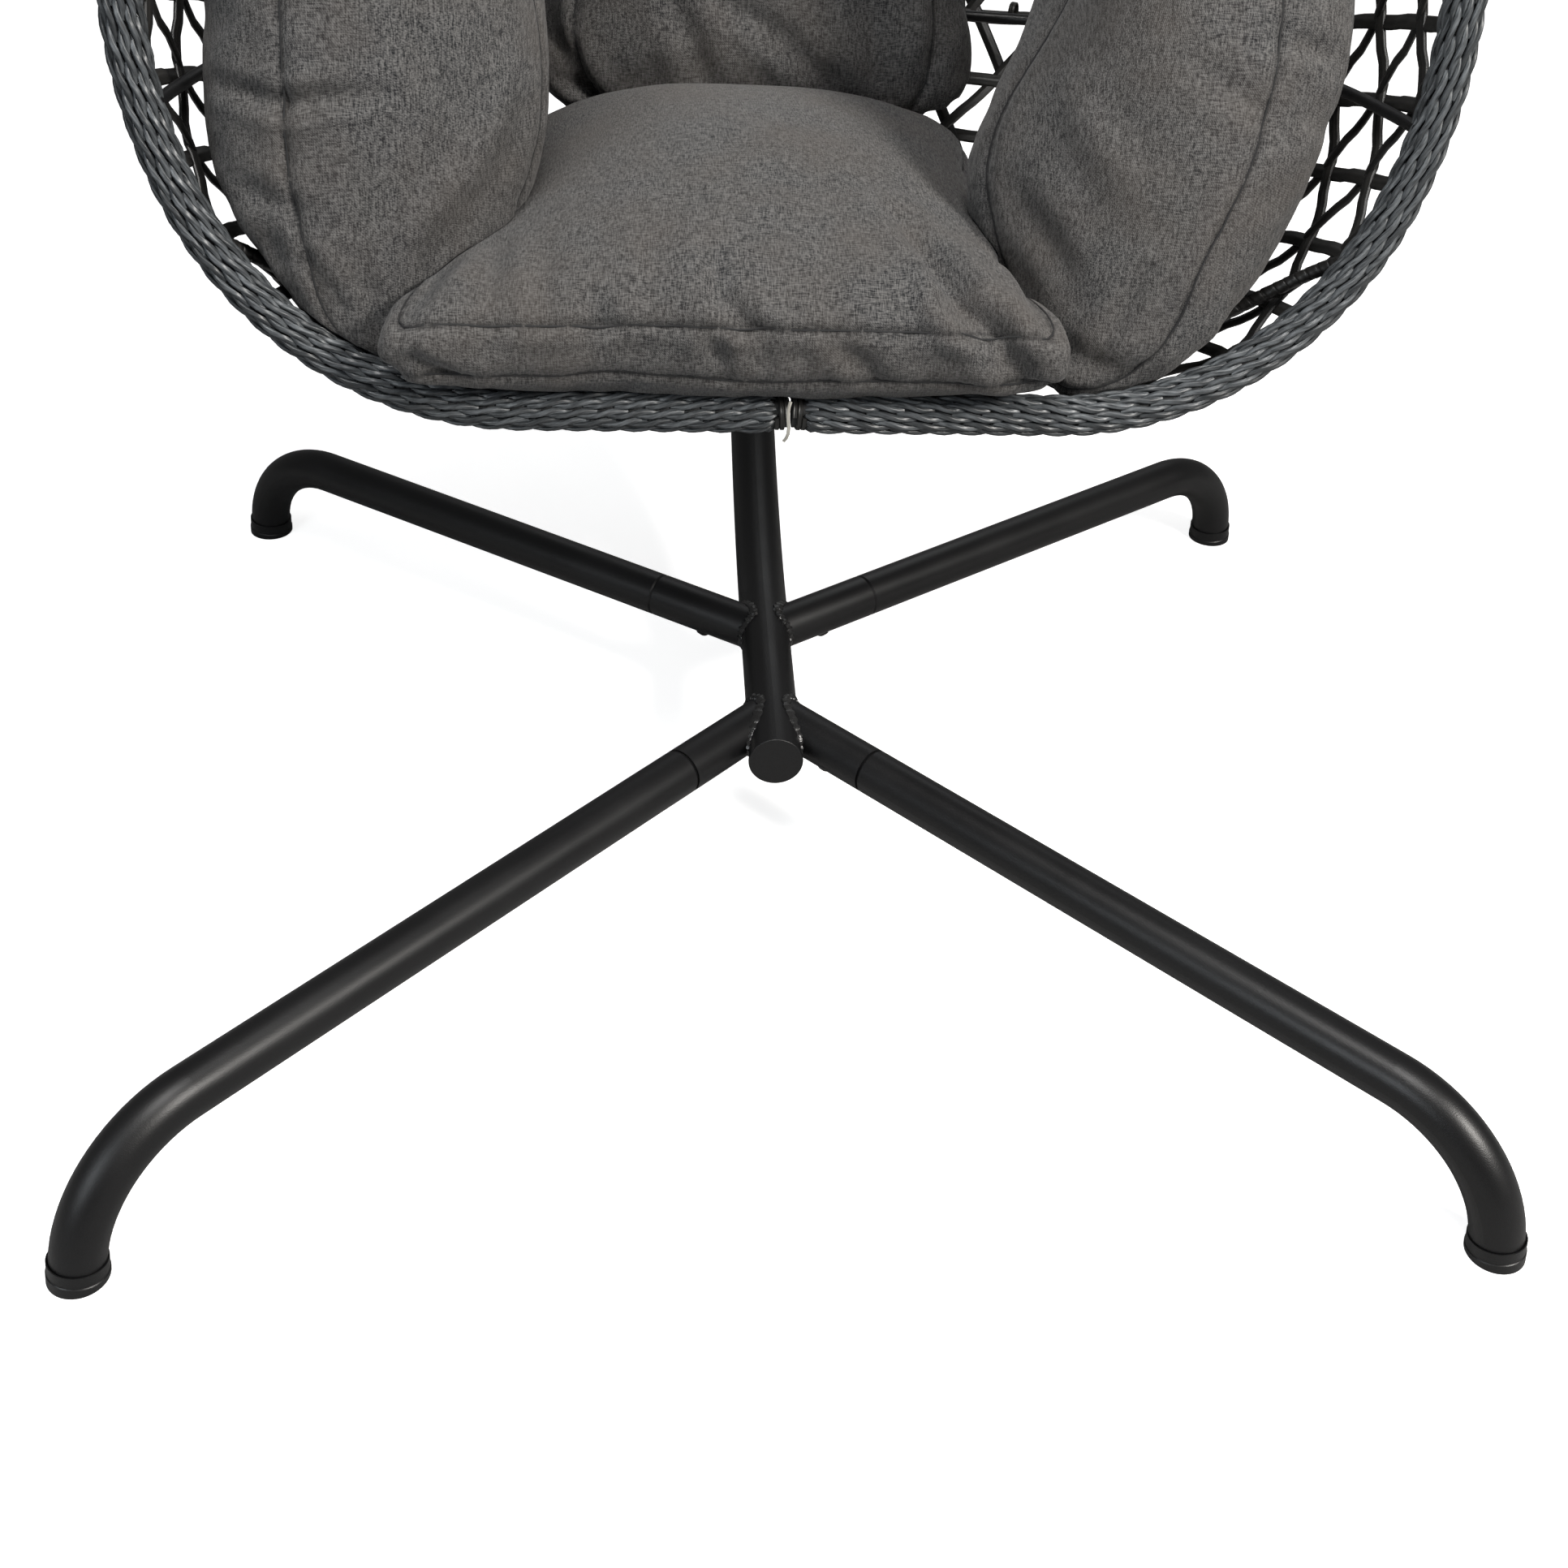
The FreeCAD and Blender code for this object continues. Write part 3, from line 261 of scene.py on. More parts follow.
def coatedMaterial(name, dark, light, roughness, metallic=0.0, size=900.0, bump=0.25, distance=0.0004,
                   **fixed):
    mat, tree, shader = newMaterial(name, roughness[0], metallic, **fixed)
    grain = put(tree, "ShaderNodeGroup", node_tree=coatGrain)
    grain.inputs["Size"].default_value = size
    tree.links.new(mixColours(tree, grain.outputs["Tone"], dark, light), shader.inputs["Base Color"])
    gloss = put(tree, "ShaderNodeMapRange",
                {"Value": grain.outputs["Gloss"], "To Min": roughness[0], "To Max": roughness[1]})
    tree.links.new(gloss.outputs[0], shader.inputs["Roughness"])
    addBump(tree, shader, grain.outputs["Height"], bump, distance)
    return mat


def strandMaterial(name, dark, light, streakDark, roughness, ribs, streak, bump, **fixed):
    mat, tree, shader = newMaterial(name, roughness, **fixed)
    strand = put(tree, "ShaderNodeGroup", node_tree=strandRibs)
    strand.inputs["Ribs"].default_value = ribs
    strand.inputs["Streak"].default_value = streak
    tone = mixColours(tree, strand.outputs["Tone"], dark, light)
    share = put(tree, "ShaderNodeMapRange", {"Value": strand.outputs["Streaks"],
                                             "From Min": groupLook["streakFrom"],
                                             "From Max": groupLook["streakTo"]})
    tree.links.new(mixColours(tree, share.outputs[0], tone, streakDark), shader.inputs["Base Color"])
    addBump(tree, shader, strand.outputs["Height"], bump, groupLook["strandBump"])
    return mat


def clothMaterial(name, dark, light, warm, bump):
    mat, tree, shader = newMaterial(name, 0.92, Sheen_Weight=0.12, Sheen_Roughness=0.5,
                                    Specular_IOR_Level=0.25)
    cloth = put(tree, "ShaderNodeGroup", node_tree=heatherTwill)
    both = calc(tree, "ADD", cloth.outputs["Across"], cloth.outputs["Down"])
    share = put(tree, "ShaderNodeMapRange", {"Value": both, "From Min": 0.8, "From Max": 1.22})
    yarns = mixColours(tree, share.outputs[0], dark, light)
    patch = put(tree, "ShaderNodeMapRange",
                {"Value": cloth.outputs["Patch"], "From Min": 0.35, "From Max": 0.7, "To Max": 0.4})
    tinted = mixColours(tree, patch.outputs[0], yarns, warm)
    # painted shade: the cloth darkens towards each seam, standing in for the shade in the seam's groove
    seam = put(tree, "ShaderNodeAttribute", attribute_name="seamShade")
    dim = calc(tree, "MULTIPLY", seam.outputs["Fac"], groupLook["seamShade"])
    tree.links.new(mixColours(tree, dim, tinted, groupLook["seamShadeColour"]), shader.inputs["Base Color"])
    addBump(tree, shader, cloth.outputs["Height"], bump, groupLook["clothBump"])
    return mat


finishes = {
    "painted_steel": coatedMaterial("blackPowderCoat", (12, 12, 13), (19, 19, 20), (0.34, 0.46),
                                    size=1100.0, bump=0.3, Specular_IOR_Level=0.42),
    "plated_steel": coatedMaterial("zincPlate", (150, 150, 148), (190, 190, 186), (0.24, 0.4),
                                   metallic=1.0, size=400.0, bump=0.06),
    "black_plastic": coatedMaterial("mouldedBlack", (13, 13, 14), (20, 20, 21), (0.34, 0.46),
                                    size=1500.0, bump=0.12),
    "grey_braid": strandMaterial("greyBraidStrand", (60, 63, 65), (100, 104, 107),
                                 (30, 32, 34), 0.38, 4.0, 90.0, 0.5),
    "dark_weave": strandMaterial("darkWeaveStrip", (28, 27, 26), (42, 41, 39),
                                 (18, 18, 18), 0.44, 7.0, 50.0, 0.4),
    "charcoal_fabric": clothMaterial("charcoalHeather", (27, 28, 30), (101, 100, 99),
                                     (80, 74, 69), 0.7)}
# the seams' dark thread, which also stands in for the shade in their grooves
threadAndShadeCloth = coatedMaterial("seamThreadAndShade", (24, 24, 25), (34, 34, 35), (0.8, 0.9))
weldMetal = coatedMaterial("weldBead", (24, 24, 25), (70, 70, 70), (0.16, 0.34), metallic=0.5,
                           size=700.0, bump=0.5)
paleTie = strandMaterial("paleTieStrip", (150, 148, 140), (180, 178, 170),
                         (120, 118, 112), 0.5, 3.0, 60.0, 0.2)
# a near-black core that fills the braid; its dark colour stands in for the shade seen between the rows
braidShadeCore = coatedMaterial("braidShadeCoreFinish", (16, 17, 18), (26, 27, 28), (0.6, 0.7), size=500.0)



def setFinish(thing, finish):
    thing.data.materials.clear()
    thing.data.materials.append(finish)


slotOfNode = {}
for entry in frame["record"]["materials"]:
    for nodeName in entry.get("nodes", []):
        slotOfNode[nodeName] = entry["slot"]
for nodeName, node in nodes.items():
    setFinish(node, finishes[slotOfNode.get(nodeName, "painted_steel")])
print("finishes made:", sorted(set(slotOfNode.values())))


# the basket's shape, the same as the CAD model's, in metres

backY = 0.013055  # how far the CAD model was moved back after it was drawn
basket = dict(
    bottomY=-0.171 + backY, bottomZ=0.442, leanDeg=8.0,
    flat=0.222, cornerR=0.27, cornerDeg=71.2, sideR=0.391, crownR=0.307, crownFlat=0.044,
    height=1.189, depth=0.61, middle=0.507, fullness=2.3)
lean = math.radians(basket["leanDeg"])
rimUp = Vector((0, math.sin(lean), math.cos(lean)))
rimBack = Vector((0, math.cos(lean), -math.sin(lean)))
rimOrigin = Vector((0, basket["bottomY"], basket["bottomZ"]))


def basketPoint(u, v, w):
    return rimOrigin + Vector((u, 0, 0)) + rimUp * v + rimBack * w


def eggArcs():  # centre, radius and turn of each arc of the rim's right half, bottom to top
    b = basket
    turn = math.radians(b["cornerDeg"])
    corner = (b["flat"], b["cornerR"])
    step = b["sideR"] - b["cornerR"]
    sideArc = (corner[0] - step * math.sin(turn), corner[1] + step * math.cos(turn))
    k = sideArc[0] + b["sideR"] - b["crownFlat"] - b["crownR"]
    h = b["height"] - sideArc[1] - b["crownR"]
    d = (k * k + h * h) / (2 * k)
    upperR = b["crownR"] + d
    rise = math.atan2(h, d - k)
    return [(corner, b["cornerR"], 0.0, turn), (sideArc, b["sideR"], turn, math.pi / 2),
            ((sideArc[0] + b["sideR"] - upperR, sideArc[1]), upperR, math.pi / 2, math.pi / 2 + rise),
            ((b["crownFlat"], b["height"] - b["crownR"]), b["crownR"], math.pi / 2 + rise, math.pi)]


rimArcs = eggArcs()


def rimRuns(endX=0.0):  # the outline's runs, each with its length and its points, and the whole length
    b = basket
    runs = [(b["flat"] - endX, lambda s: (endX + s, 0.0, 0.0))]
    for centre, radius, low, high in rimArcs:
        def onArc(s, c=centre, r=radius, a=low):
            turn = a + s / r
            return c[0] + r * math.sin(turn), c[1] - r * math.cos(turn), turn
        runs.append((radius * (high - low), onArc))
    runs.append((b["crownFlat"] - endX, lambda s: (b["crownFlat"] - s, b["height"], math.pi)))
    return runs, sum(length for length, place in runs)


def rimAt(runs, s):  # across, up and heading at a distance along the outline
    for length, place in runs[:-1]:
        if s <= length:
            return place(s)
        s -= length
    return runs[-1][1](s)


def rimSpot(runs, s, side, w=0):  # a point of the rim's line, and the way out from the egg's middle
    u, v, turn = rimAt(runs, s)
    return basketPoint(side * u, v, w), Vector((side * math.sin(turn), 0, 0)) - rimUp * math.cos(turn)


def outlineReach():  # distance from the basket's middle to the outline, each quarter degree
    table = []
    for step in range(721):
        turn = math.radians(step / 4)
        dx, dy = math.sin(turn), -math.cos(turn)
        reach = None
        for centre, r, low, high in rimArcs:
            cx, cy = centre[0], centre[1] - basket["middle"]
            along = dx * cx + dy * cy
            far = along + math.sqrt(max(along * along - cx * cx - cy * cy + r * r, 0))
            angle = math.atan2(dx * far - cx, -(dy * far - cy))
            if low - 1e-6 <= angle <= high + 1e-6:
                reach = far
        if reach is None:
            reach = basket["middle"] / -dy if dy < 0 else (basket["height"] - basket["middle"]) / dy
        table.append(reach)
    return table


def tableAt(table, at):  # a value between two rows
    low = int(at)
    return table[low] + (table[low + 1] - table[low]) * (at - low)


reachTable = outlineReach()


def outlineRadius(turn):
    return tableAt(reachTable, min(max(math.degrees(turn) * 4, 0), 719.999))


def shellPoint(rise, swing, side, inset):  # rise from 0 below to pi above, swing from 0 behind to the rim
    du, dv, dw = math.sin(rise) * math.sin(swing), -math.cos(rise), math.sin(rise) * math.cos(swing)
    flatPart = math.hypot(du, dv)
    reach = outlineRadius(math.atan2(du, -dv)) - inset
    depth = basket["depth"] - inset
    n = basket["fullness"]
    a, b = flatPart / reach, max(dw, 0) / depth
    size = (a ** n + b ** n) ** (-1 / n)
    point = basketPoint(side * du * size, basket["middle"] + dv * size, dw * size)
    outU = a ** (n - 1) / reach * du / max(flatPart, 1e-9)
    outV = a ** (n - 1) / reach * dv / max(flatPart, 1e-9)
    outW = b ** (n - 1) / depth
    normal = (Vector((side * outU, 0, 0)) + rimUp * outV + rimBack * outW).normalized()
    return point, normal


# strands: a grid is added, wrapped round a path as an oval tube, and closed after all are joined

strandLook = dict(tip=0.55, uvShift=0.37, uvFill=0.999, weld=0.00001, smoothDeg=50)


def addStrand(number, centres, tops, halfWide, halfThick, sides, pointed=False, fullness=None, square=0.7):
    steps = len(centres) - 1
    bpy.ops.mesh.primitive_grid_add(x_subdivisions=steps, y_subdivisions=sides, size=1)
    strand = bpy.context.object
    rings = []
    length = 0.0
    for i, centre in enumerate(centres):
        ahead = (centres[min(i + 1, steps)] - centres[max(i - 1, 0)]).normalized()
        wide = ahead.cross(tops[i]).normalized()
        top = wide.cross(ahead)
        rings.append((centre, wide, top))
        if i:
            length += (centre - centres[i - 1]).length
    shape = []
    for j in range(sides):
        turn = 2 * math.pi * j / sides
        c, s = math.cos(turn), math.sin(turn)
        shape.append((halfWide * math.copysign(abs(c) ** square, c),
                      halfThick * math.copysign(abs(s) ** square, s)))
    shape.append(shape[0])
    co = []
    for a, b in shape:
        for i, (centre, wide, top) in enumerate(rings):
            shrink = strandLook["tip"] if pointed and i in (0, steps) else 1.0
            if fullness:
                shrink *= fullness[i]
            co.extend(centre + wide * (a * shrink) + top * (b * shrink))
    mesh = strand.data
    mesh.vertices.foreach_set("co", co)
    uv = mesh.uv_layers[0].data
    spots = [0.0] * (2 * len(uv))
    uv.foreach_get("uv", spots)
    spots[0::2] = [x * length + number * strandLook["uvShift"] for x in spots[0::2]]
    spots[1::2] = [y * strandLook["uvFill"] + number for y in spots[1::2]]
    uv.foreach_set("uv", spots)
    return strand


def lay(strands, centres, tops, strip, **more):  # strip: half width, half thickness and sides
    strands.append(addStrand(len(strands), centres, tops, *strip, **more))


def joinStrands(strands, name, finish):
    deselectAll()
    for strand in strands:
        strand.select_set(True)
    bpy.context.view_layer.objects.active = strands[0]
    bpy.ops.object.join()
    piece = bpy.context.object
    piece.name = name
    bpy.ops.object.mode_set(mode="EDIT")
    bpy.ops.mesh.select_all(action="SELECT")
    bpy.ops.mesh.remove_doubles(threshold=strandLook["weld"])
    bpy.ops.mesh.select_all(action="DESELECT")
    bpy.ops.mesh.select_mode(type="EDGE")
    bpy.ops.mesh.select_non_manifold(extend=False, use_wire=False, use_multi_face=False,
                                     use_non_contiguous=False, use_verts=False)
    bpy.ops.mesh.fill_holes(sides=0)
    bpy.ops.mesh.select_all(action="SELECT")
    bpy.ops.mesh.normals_make_consistent(inside=False)
    bpy.ops.object.mode_set(mode="OBJECT")
    bpy.ops.object.shade_smooth_by_angle(angle=math.radians(strandLook["smoothDeg"]))
    setFinish(piece, finish)
    return piece


braid = dict(rows=11, outer=0.0175, strand=(0.0025, 0.0021, 8), square=0.95, twist=0.002, pitch=0.047,
             step=0.005, phase=0.31, endX=0.012, endRound=0.008, endR=0.0105, wobble=0.5, wobbleAlong=9,
             wobbleRow=3.1, slideShare=1.15, tilt=0.6, stand=0.5, core=(0.0113, 0.0113, 18), coreFrom=0.001,
             coreNumber=99)


def makeBraid(side, sideName):
    runs, length = rimRuns(braid["endX"])
    steps = int(length / braid["step"])
    marks = [length * i / steps for i in range(steps + 1)]
    stations = [(s,) + rimSpot(runs, s, side) for s in marks]
    rowR = braid["outer"] - braid["twist"] - braid["strand"][1]
    strands = []
    for row in range(braid["rows"]):
        angle = 2 * math.pi * row / braid["rows"]
        for ply in (0, 1):
            centres, tops = [], []
            for s, centre, outward in stations:
                radial = outward * math.cos(angle) + rimBack * math.sin(angle)
                sideways = rimBack * math.cos(angle) - outward * math.sin(angle)
                phase = 2 * math.pi * (s / braid["pitch"] + braid["phase"] * row) + math.pi * ply
                spot = Vector((s * braid["wobbleAlong"], row * braid["wobbleRow"], side))
                phase += braid["wobble"] * noise.noise(spot)
                fromEnd = min(max(min(s, length - s), 0) / braid["endRound"], 1)
                r = braid["endR"] + (rowR - braid["endR"]) * math.sqrt(1 - (1 - fromEnd) ** 2)
                lift = braid["twist"] * math.cos(phase)
                slide = braid["twist"] * braid["slideShare"] * math.sin(phase)
                centres.append(centre + radial * (r + lift) + sideways * slide)
                tops.append(radial * math.cos(phase) * braid["tilt"] + radial * braid["stand"]
                            + sideways * math.sin(phase) * braid["tilt"])
            lay(strands, centres, tops, braid["strand"], pointed=True, square=braid["square"])
    piece = joinStrands(strands, "braid_" + sideName, finishes["grey_braid"])
    # the core, whose dark colour paints the shade between the braid's rows
    inner = [p for s, p, o in stations[1:-1:2]]
    inner[0].x = inner[-1].x = side * braid["coreFrom"]
    core = addStrand(braid["coreNumber"], inner, [rimBack] * len(inner), *braid["core"])
    core = joinStrands([core], "braid_core_" + sideName, braidShadeCore)
    makeActive(piece)
    core.select_set(True)
    bpy.ops.object.join()
    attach(piece, "basket")
    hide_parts("rim_braid_" + sideName)
    print("braid", sideName, len(piece.data.polygons))


# the open lattice: level strips and two slanted families, woven over and under

lattice = dict(spacing=0.062, swing=math.radians(8.6), dip=0.1, crossing=0.15, inset=0.004, over=0.0014,
               overSteep=3.2, levelStrip=(0.0066, 0.0021, 8), slantStrip=(0.0056, 0.0022, 8),
               step=0.011, probe=0.002, lastSwing=0.005, rimSwing=math.radians(88.6), spineX=0.014,
               spineReach=0.02, spineGap=0.0165, loopR=0.0117, loopTurns=range(20, -231, -18), loopOpens=-190,
               loopGrows=200, slantStep=0.15, slantPhase=0.075, poleLow=math.radians(33),
               poleHigh=math.radians(148), evenPoles=0.45, fewest=4)


def levelRises():  # rises of the level strips, evenly spaced along the rim
    runs, length = rimRuns()
    count = round(length / lattice["spacing"])
    rises = []
    for k in range(count * 4 + 1):  # four table rows to a level
        u, v, turn = rimAt(runs, length * k / (count * 4))
        rises.append(math.atan2(u, -(v - basket["middle"])))
    return rises, count


riseTable, levelCount = levelRises()


def riseAt(k):
    return tableAt(riseTable, min(max(k * 4, 0), levelCount * 4 - 0.0001))


def dippedRise(k, swing):  # the strips hang a little lower towards the back
    rise = riseAt(k)
    return rise - lattice["dip"] * math.cos(swing) * math.sin(rise)


def weaveLift(phase):
    return lattice["over"] * math.tanh(lattice["overSteep"] * math.sin(2 * math.pi * phase))


spine = dict(inset=0.019, rows=(0.12, 0.23, 0.33, 0.415, 0.485, 0.54), backShare=0.975, wall=0.005,
             tubeR=0.01, wallGap=0.003, bow=0.001, below=0.15, above=0.17, startW=0.03, leadW=0.078,
             leadShare=0.3)


def spineRoute():  # the spine tubes' centre line in the basket's middle plane, height and depth
    inset, middle, height = spine["inset"], basket["middle"], basket["height"]
    depth = basket["depth"] - inset
    n = basket["fullness"]
    low, high = [], []
    for w in spine["rows"]:
        k = (1 - (w / depth) ** n) ** (1 / n)
        low.append((middle - (middle - inset) * k, w))
        high.append((middle + (height - inset - middle) * k, w))
    deep = basket["depth"] * spine["backShare"] - spine["wall"] - spine["tubeR"] - spine["wallGap"]
    turnV = inset * spine["leadShare"]
    back = [(middle - spine["below"], deep), (middle, deep + spine["bow"]), (middle + spine["above"], deep)]
    return ([(0.0, spine["startW"]), (turnV, spine["leadW"])] + low + back + high[::-1]
            + [(height - turnV, spine["leadW"]), (height, spine["startW"])])


spineLine = spineRoute()


def spineAt(rise):  # where the spine tubes' line crosses a level, with the outward direction there
    dv, dw = -math.cos(rise), math.sin(rise)
    best = None
    for (v0, w0), (v1, w1) in zip(spineLine, spineLine[1:]):
        ev, ew = v1 - v0, w1 - w0
        det = dv * -ew + dw * ev
        if abs(det) < 1e-12:
            continue
        pv, pw = v0 - basket["middle"], w0
        t = (pv * -ew + pw * ev) / det
        share = (dv * pw - dw * pv) / det
        if -1e-6 <= share <= 1 + 1e-6 and t > 0:
            best = (basket["middle"] + dv * t, dw * t)
    if best is None:
        return None
    point = basketPoint(0, *best)
    outward = rimUp * dv + rimBack * dw
    return point, outward.normalized()


def levelStrip(k, side):  # from the rim to the spine tube, then round it
    spot = spineAt(dippedRise(k, 0.0))
    if spot is None:
        return None
    tubeAt, outward = spot
    tubeAt = tubeAt + Vector((side * lattice["spineX"], 0, 0))
    sideways = Vector((side, 0, 0))
    centres, tops = [], []
    swing = lattice["rimSwing"]
    while swing > lattice["lastSwing"]:
        here, normal = shellPoint(dippedRise(k, swing), swing, side, lattice["inset"])
        if here.x * side < lattice["spineX"] + lattice["spineReach"]:
            break
        phase = swing / lattice["swing"] - k / 2
        centres.append(here + normal * weaveLift(phase))
        tops.append(normal)
        nextSwing = swing - lattice["probe"]
        ahead = shellPoint(dippedRise(k, nextSwing), nextSwing, side, lattice["inset"])[0]
        swing -= lattice["probe"] * lattice["step"] / max((ahead - here).length, 0.0001)
    if len(centres) < lattice["fewest"]:
        return None
    for turn in lattice["loopTurns"]:
        angle = math.radians(turn)
        radial = sideways * math.sin(angle) + outward * math.cos(angle)
        r = lattice["loopR"] * (1.0 + max(lattice["loopOpens"] - turn, 0) / lattice["loopGrows"])
        centres.append(tubeAt + radial * r)
        tops.append(radial)
    return centres, tops


def firstLevel(fromK, rise):  # the first eighth of a level that lies above a rise
    eighths = range(int(fromK * 8), levelCount * 8)
    return next((i / 8 for i in eighths if riseAt(i / 8) > rise), levelCount - 0.5)


def slantedStrip(start, slant, side):  # one line of a slanted family, in runs from rim to spine
    poles = 1 if start % 2 else lattice["evenPoles"]  # every other line goes on closer to the poles
    k = firstLevel(0, lattice["poleLow"] * poles)
    lastK = firstLevel(k, math.pi - (math.pi - lattice["poleHigh"]) * poles)
    runs, centres, tops = [], [], []
    while k <= lastK:
        swing = lattice["swing"] * (start + slant * (k - lattice["crossing"]) / 2)
        if 0.0 < swing < lattice["rimSwing"]:
            here, normal = shellPoint(dippedRise(k, swing), swing, side, lattice["inset"])
            if here.x * side > lattice["spineGap"]:
                lift = weaveLift(k - lattice["slantPhase"]) * -slant
                centres.append(here + normal * lift)
                tops.append(normal)
        elif centres:
            runs.append((centres, tops))
            centres, tops = [], []
        k += lattice["slantStep"]
    runs.append((centres, tops))
    return [run for run in runs if len(run[0]) > lattice["fewest"]]


def makeLattice(side, sideName):
    strands = []
    for k in range(1, levelCount):
        strip = levelStrip(k, side)
        if strip:
            lay(strands, *strip, lattice["levelStrip"])
    widest = int(math.radians(90) / lattice["swing"]) + 1
    families = ((1, range(-levelCount // 2 - 1, widest + 1)), (-1, range(0, widest + levelCount // 2 + 2)))
    for slant, starts in families:
        for start in starts:
            for strip in slantedStrip(start, slant, side):
                lay(strands, *strip, lattice["slantStrip"])
    piece = joinStrands(strands, "lattice_" + sideName, finishes["dark_weave"])
    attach(piece, "basket")
    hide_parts("weave_" + sideName)
    print("lattice", sideName, len(strands), "strips", len(piece.data.polygons))


# bindings: turns of strip at the split, the strip behind the braid, wrapped hoops and rib ties

binding = dict(  # each strip: half width, half thickness, sides
    steps=12, splitR=0.0132, splitFrom=0.003, splitPitch=0.0042, splitStrip=(0.0021, 0.0013, 6),
    edgeDepth=0.0245, edgeInset=0.003, edgeStep=0.014, edgeFrom=0.034, edgeStrip=(0.0056, 0.0022, 8),
    hoopFrom=0.225, hoopTo=0.5, hoopSteps=60, hoopDepth=0.06, hoopInset=0.024, hoopRound=0.6, hoopR=0.0048,
    hoopCore=0.95, hoopPitch=0.0105, hoopSides=8, hoopStrip=(0.006, 0.0009, 6), coilAcross=(0.3, 0.2, 0.93),
    ribHeights=(0.235, 0.5, 0.82), ribEdge=0.02, halvings=30, tieInset=0.0105, tieSwings=range(2, 9),
    tieProbe=0.01, tieR=0.0085, tieStrip=(0.0032, 0.0012, 5))


def turnsRound(path, first, second, radius):  # a strip's turns round a path of points
    centres, tops = [], []
    for i, point in enumerate(path):
        angle = 2 * math.pi * i / binding["steps"]
        radial = first * math.cos(angle) + second * math.sin(angle)
        centres.append(point + radial * radius)
        tops.append(radial)
    return centres, tops


def coil(path, radius, pitch, steps):  # a helix round a path of points, with its outward directions
    centres, tops = [], []
    turned = 0.0
    for i in range(len(path) - 1):
        a, b = path[i], path[i + 1]
        ahead = (b - a).normalized()
        first = ahead.cross(Vector(binding["coilAcross"])).normalized()
        second = ahead.cross(first)
        count = max(1, round((b - a).length / pitch * steps))
        for j in range(count):
            angle = turned + 2 * math.pi * j / steps
            radial = first * math.cos(angle) + second * math.sin(angle)
            centres.append(a.lerp(b, j / count) + radial * radius)
            tops.append(radial)
        turned += 2 * math.pi * count / steps
    return centres, tops


def ribPoint(v, swing, side, inset):  # the point of the basket's wall at a height, by halving
    low, high = binding["ribEdge"], math.pi - binding["ribEdge"]
    for halving in range(binding["halvings"]):
        middle = (low + high) / 2
        point, normal = shellPoint(middle, swing, side, inset)
        if (point - rimOrigin).dot(rimUp) < v:
            low = middle
        else:
            high = middle
    return point, normal


def makeBindings(side, sideName):
    b = binding
    strands = []
    runs, length = rimRuns()
    for v in (0.0, basket["height"]):  # turns round the rim's ends, beside the split
        path = [basketPoint(side * (b["splitFrom"] + b["splitPitch"] * i / b["steps"]), v, 0)
                for i in range(2 * b["steps"] + 1)]
        lay(strands, *turnsRound(path, -rimBack, rimUp, b["splitR"]), b["splitStrip"])
    centres, tops = [], []
    count = int(length / b["edgeStep"])
    for i in range(1, count):  # the strip that lies against the back of the braid
        place, outward = rimSpot(runs, length * i / count, side, b["edgeDepth"])
        if abs(place.x) > b["edgeFrom"]:
            centres.append(place - outward * b["edgeInset"])
            tops.append(outward)
    lay(strands, centres, tops, b["edgeStrip"])
    path = []
    for i in range(b["hoopSteps"] + 1):  # the wrapped hoop that carries the seat's corner
        share = i / b["hoopSteps"]
        along = b["hoopFrom"] + (b["hoopTo"] - b["hoopFrom"]) * share
        leave = math.sin(math.pi * share) ** b["hoopRound"]
        place, outward = rimSpot(runs, along, side, b["hoopDepth"] * leave)
        path.append(place - outward * (b["hoopInset"] * leave))
    core = b["hoopR"] * b["hoopCore"]
    lay(strands, path, [rimBack] * len(path), (core, core, b["hoopSides"]))
    lay(strands, *coil(path, b["hoopR"], b["hoopPitch"], b["hoopSides"]), b["hoopStrip"])
    for v in b["ribHeights"]:  # small loops that tie the lattice to the ribs
        for step in b["tieSwings"]:
            swing = lattice["swing"] * step
            point, normal = ribPoint(v, swing, side, b["tieInset"])
            beyond = ribPoint(v, swing + b["tieProbe"], side, b["tieInset"])[0]
            level = (beyond - point).normalized().cross(normal).normalized()
            path = [point] * (b["steps"] + 1)
            lay(strands, *turnsRound(path, normal, level, b["tieR"]), b["tieStrip"])
    piece = joinStrands(strands, "bindings_" + sideName, finishes["dark_weave"])
    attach(piece, "basket")
    print("bindings", sideName, len(piece.data.polygons))


splitTie = dict(strip=(0.0014, 0.0005, 6), line=[
    (-0.001, 0.016, -0.019), (-0.0024, 0.012, -0.0215), (-0.003, 0.007, -0.0226), (-0.0028, 0.001, -0.023),
    (-0.0022, -0.005, -0.0232), (-0.0026, -0.01, -0.023), (-0.004, -0.014, -0.0222),
    (-0.006, -0.017, -0.0212)])


def makeTieStrip():  # the cut end of a pale tie that curls out of the split
    points = [basketPoint(*place) for place in splitTie["line"]]
    strip = addStrand(0, points, [-rimBack] * len(points), *splitTie["strip"])
    piece = joinStrands([strip], "split_tie", paleTie)
    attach(piece, "basket")


# weld beads, round the leg sockets and the hanging eye

welds = dict(baseR=0.024, socketR=0.021, axisZ=0.105, bead=(0.0044, 0.003, 8), steps=96,
             frontY=-0.123 + backY, frontFoot=(0.533, -0.559), rearY=0.011 + backY, rearFoot=(0.544, 0.369),
             eyeR=0.006, armR=0.024, armCoat=0.0009, eyeBead=(0.003, 0.0022, 8), eyeSteps=48, eyeSeed=9,
             swell=0.22, swellTurn=1.9, lump=0.45, lumpStep=0.21)


def layBead(strands, points, tops, bead, seed):  # a strand with swellings
    swellings = []
    for i in range(len(points)):
        lump = noise.noise(Vector((i * welds["lumpStep"], seed, 0)))
        swellings.append(1 + welds["swell"] * math.sin(i * welds["swellTurn"]) + welds["lump"] * lump)
    lay(strands, points, tops, bead, fullness=swellings)


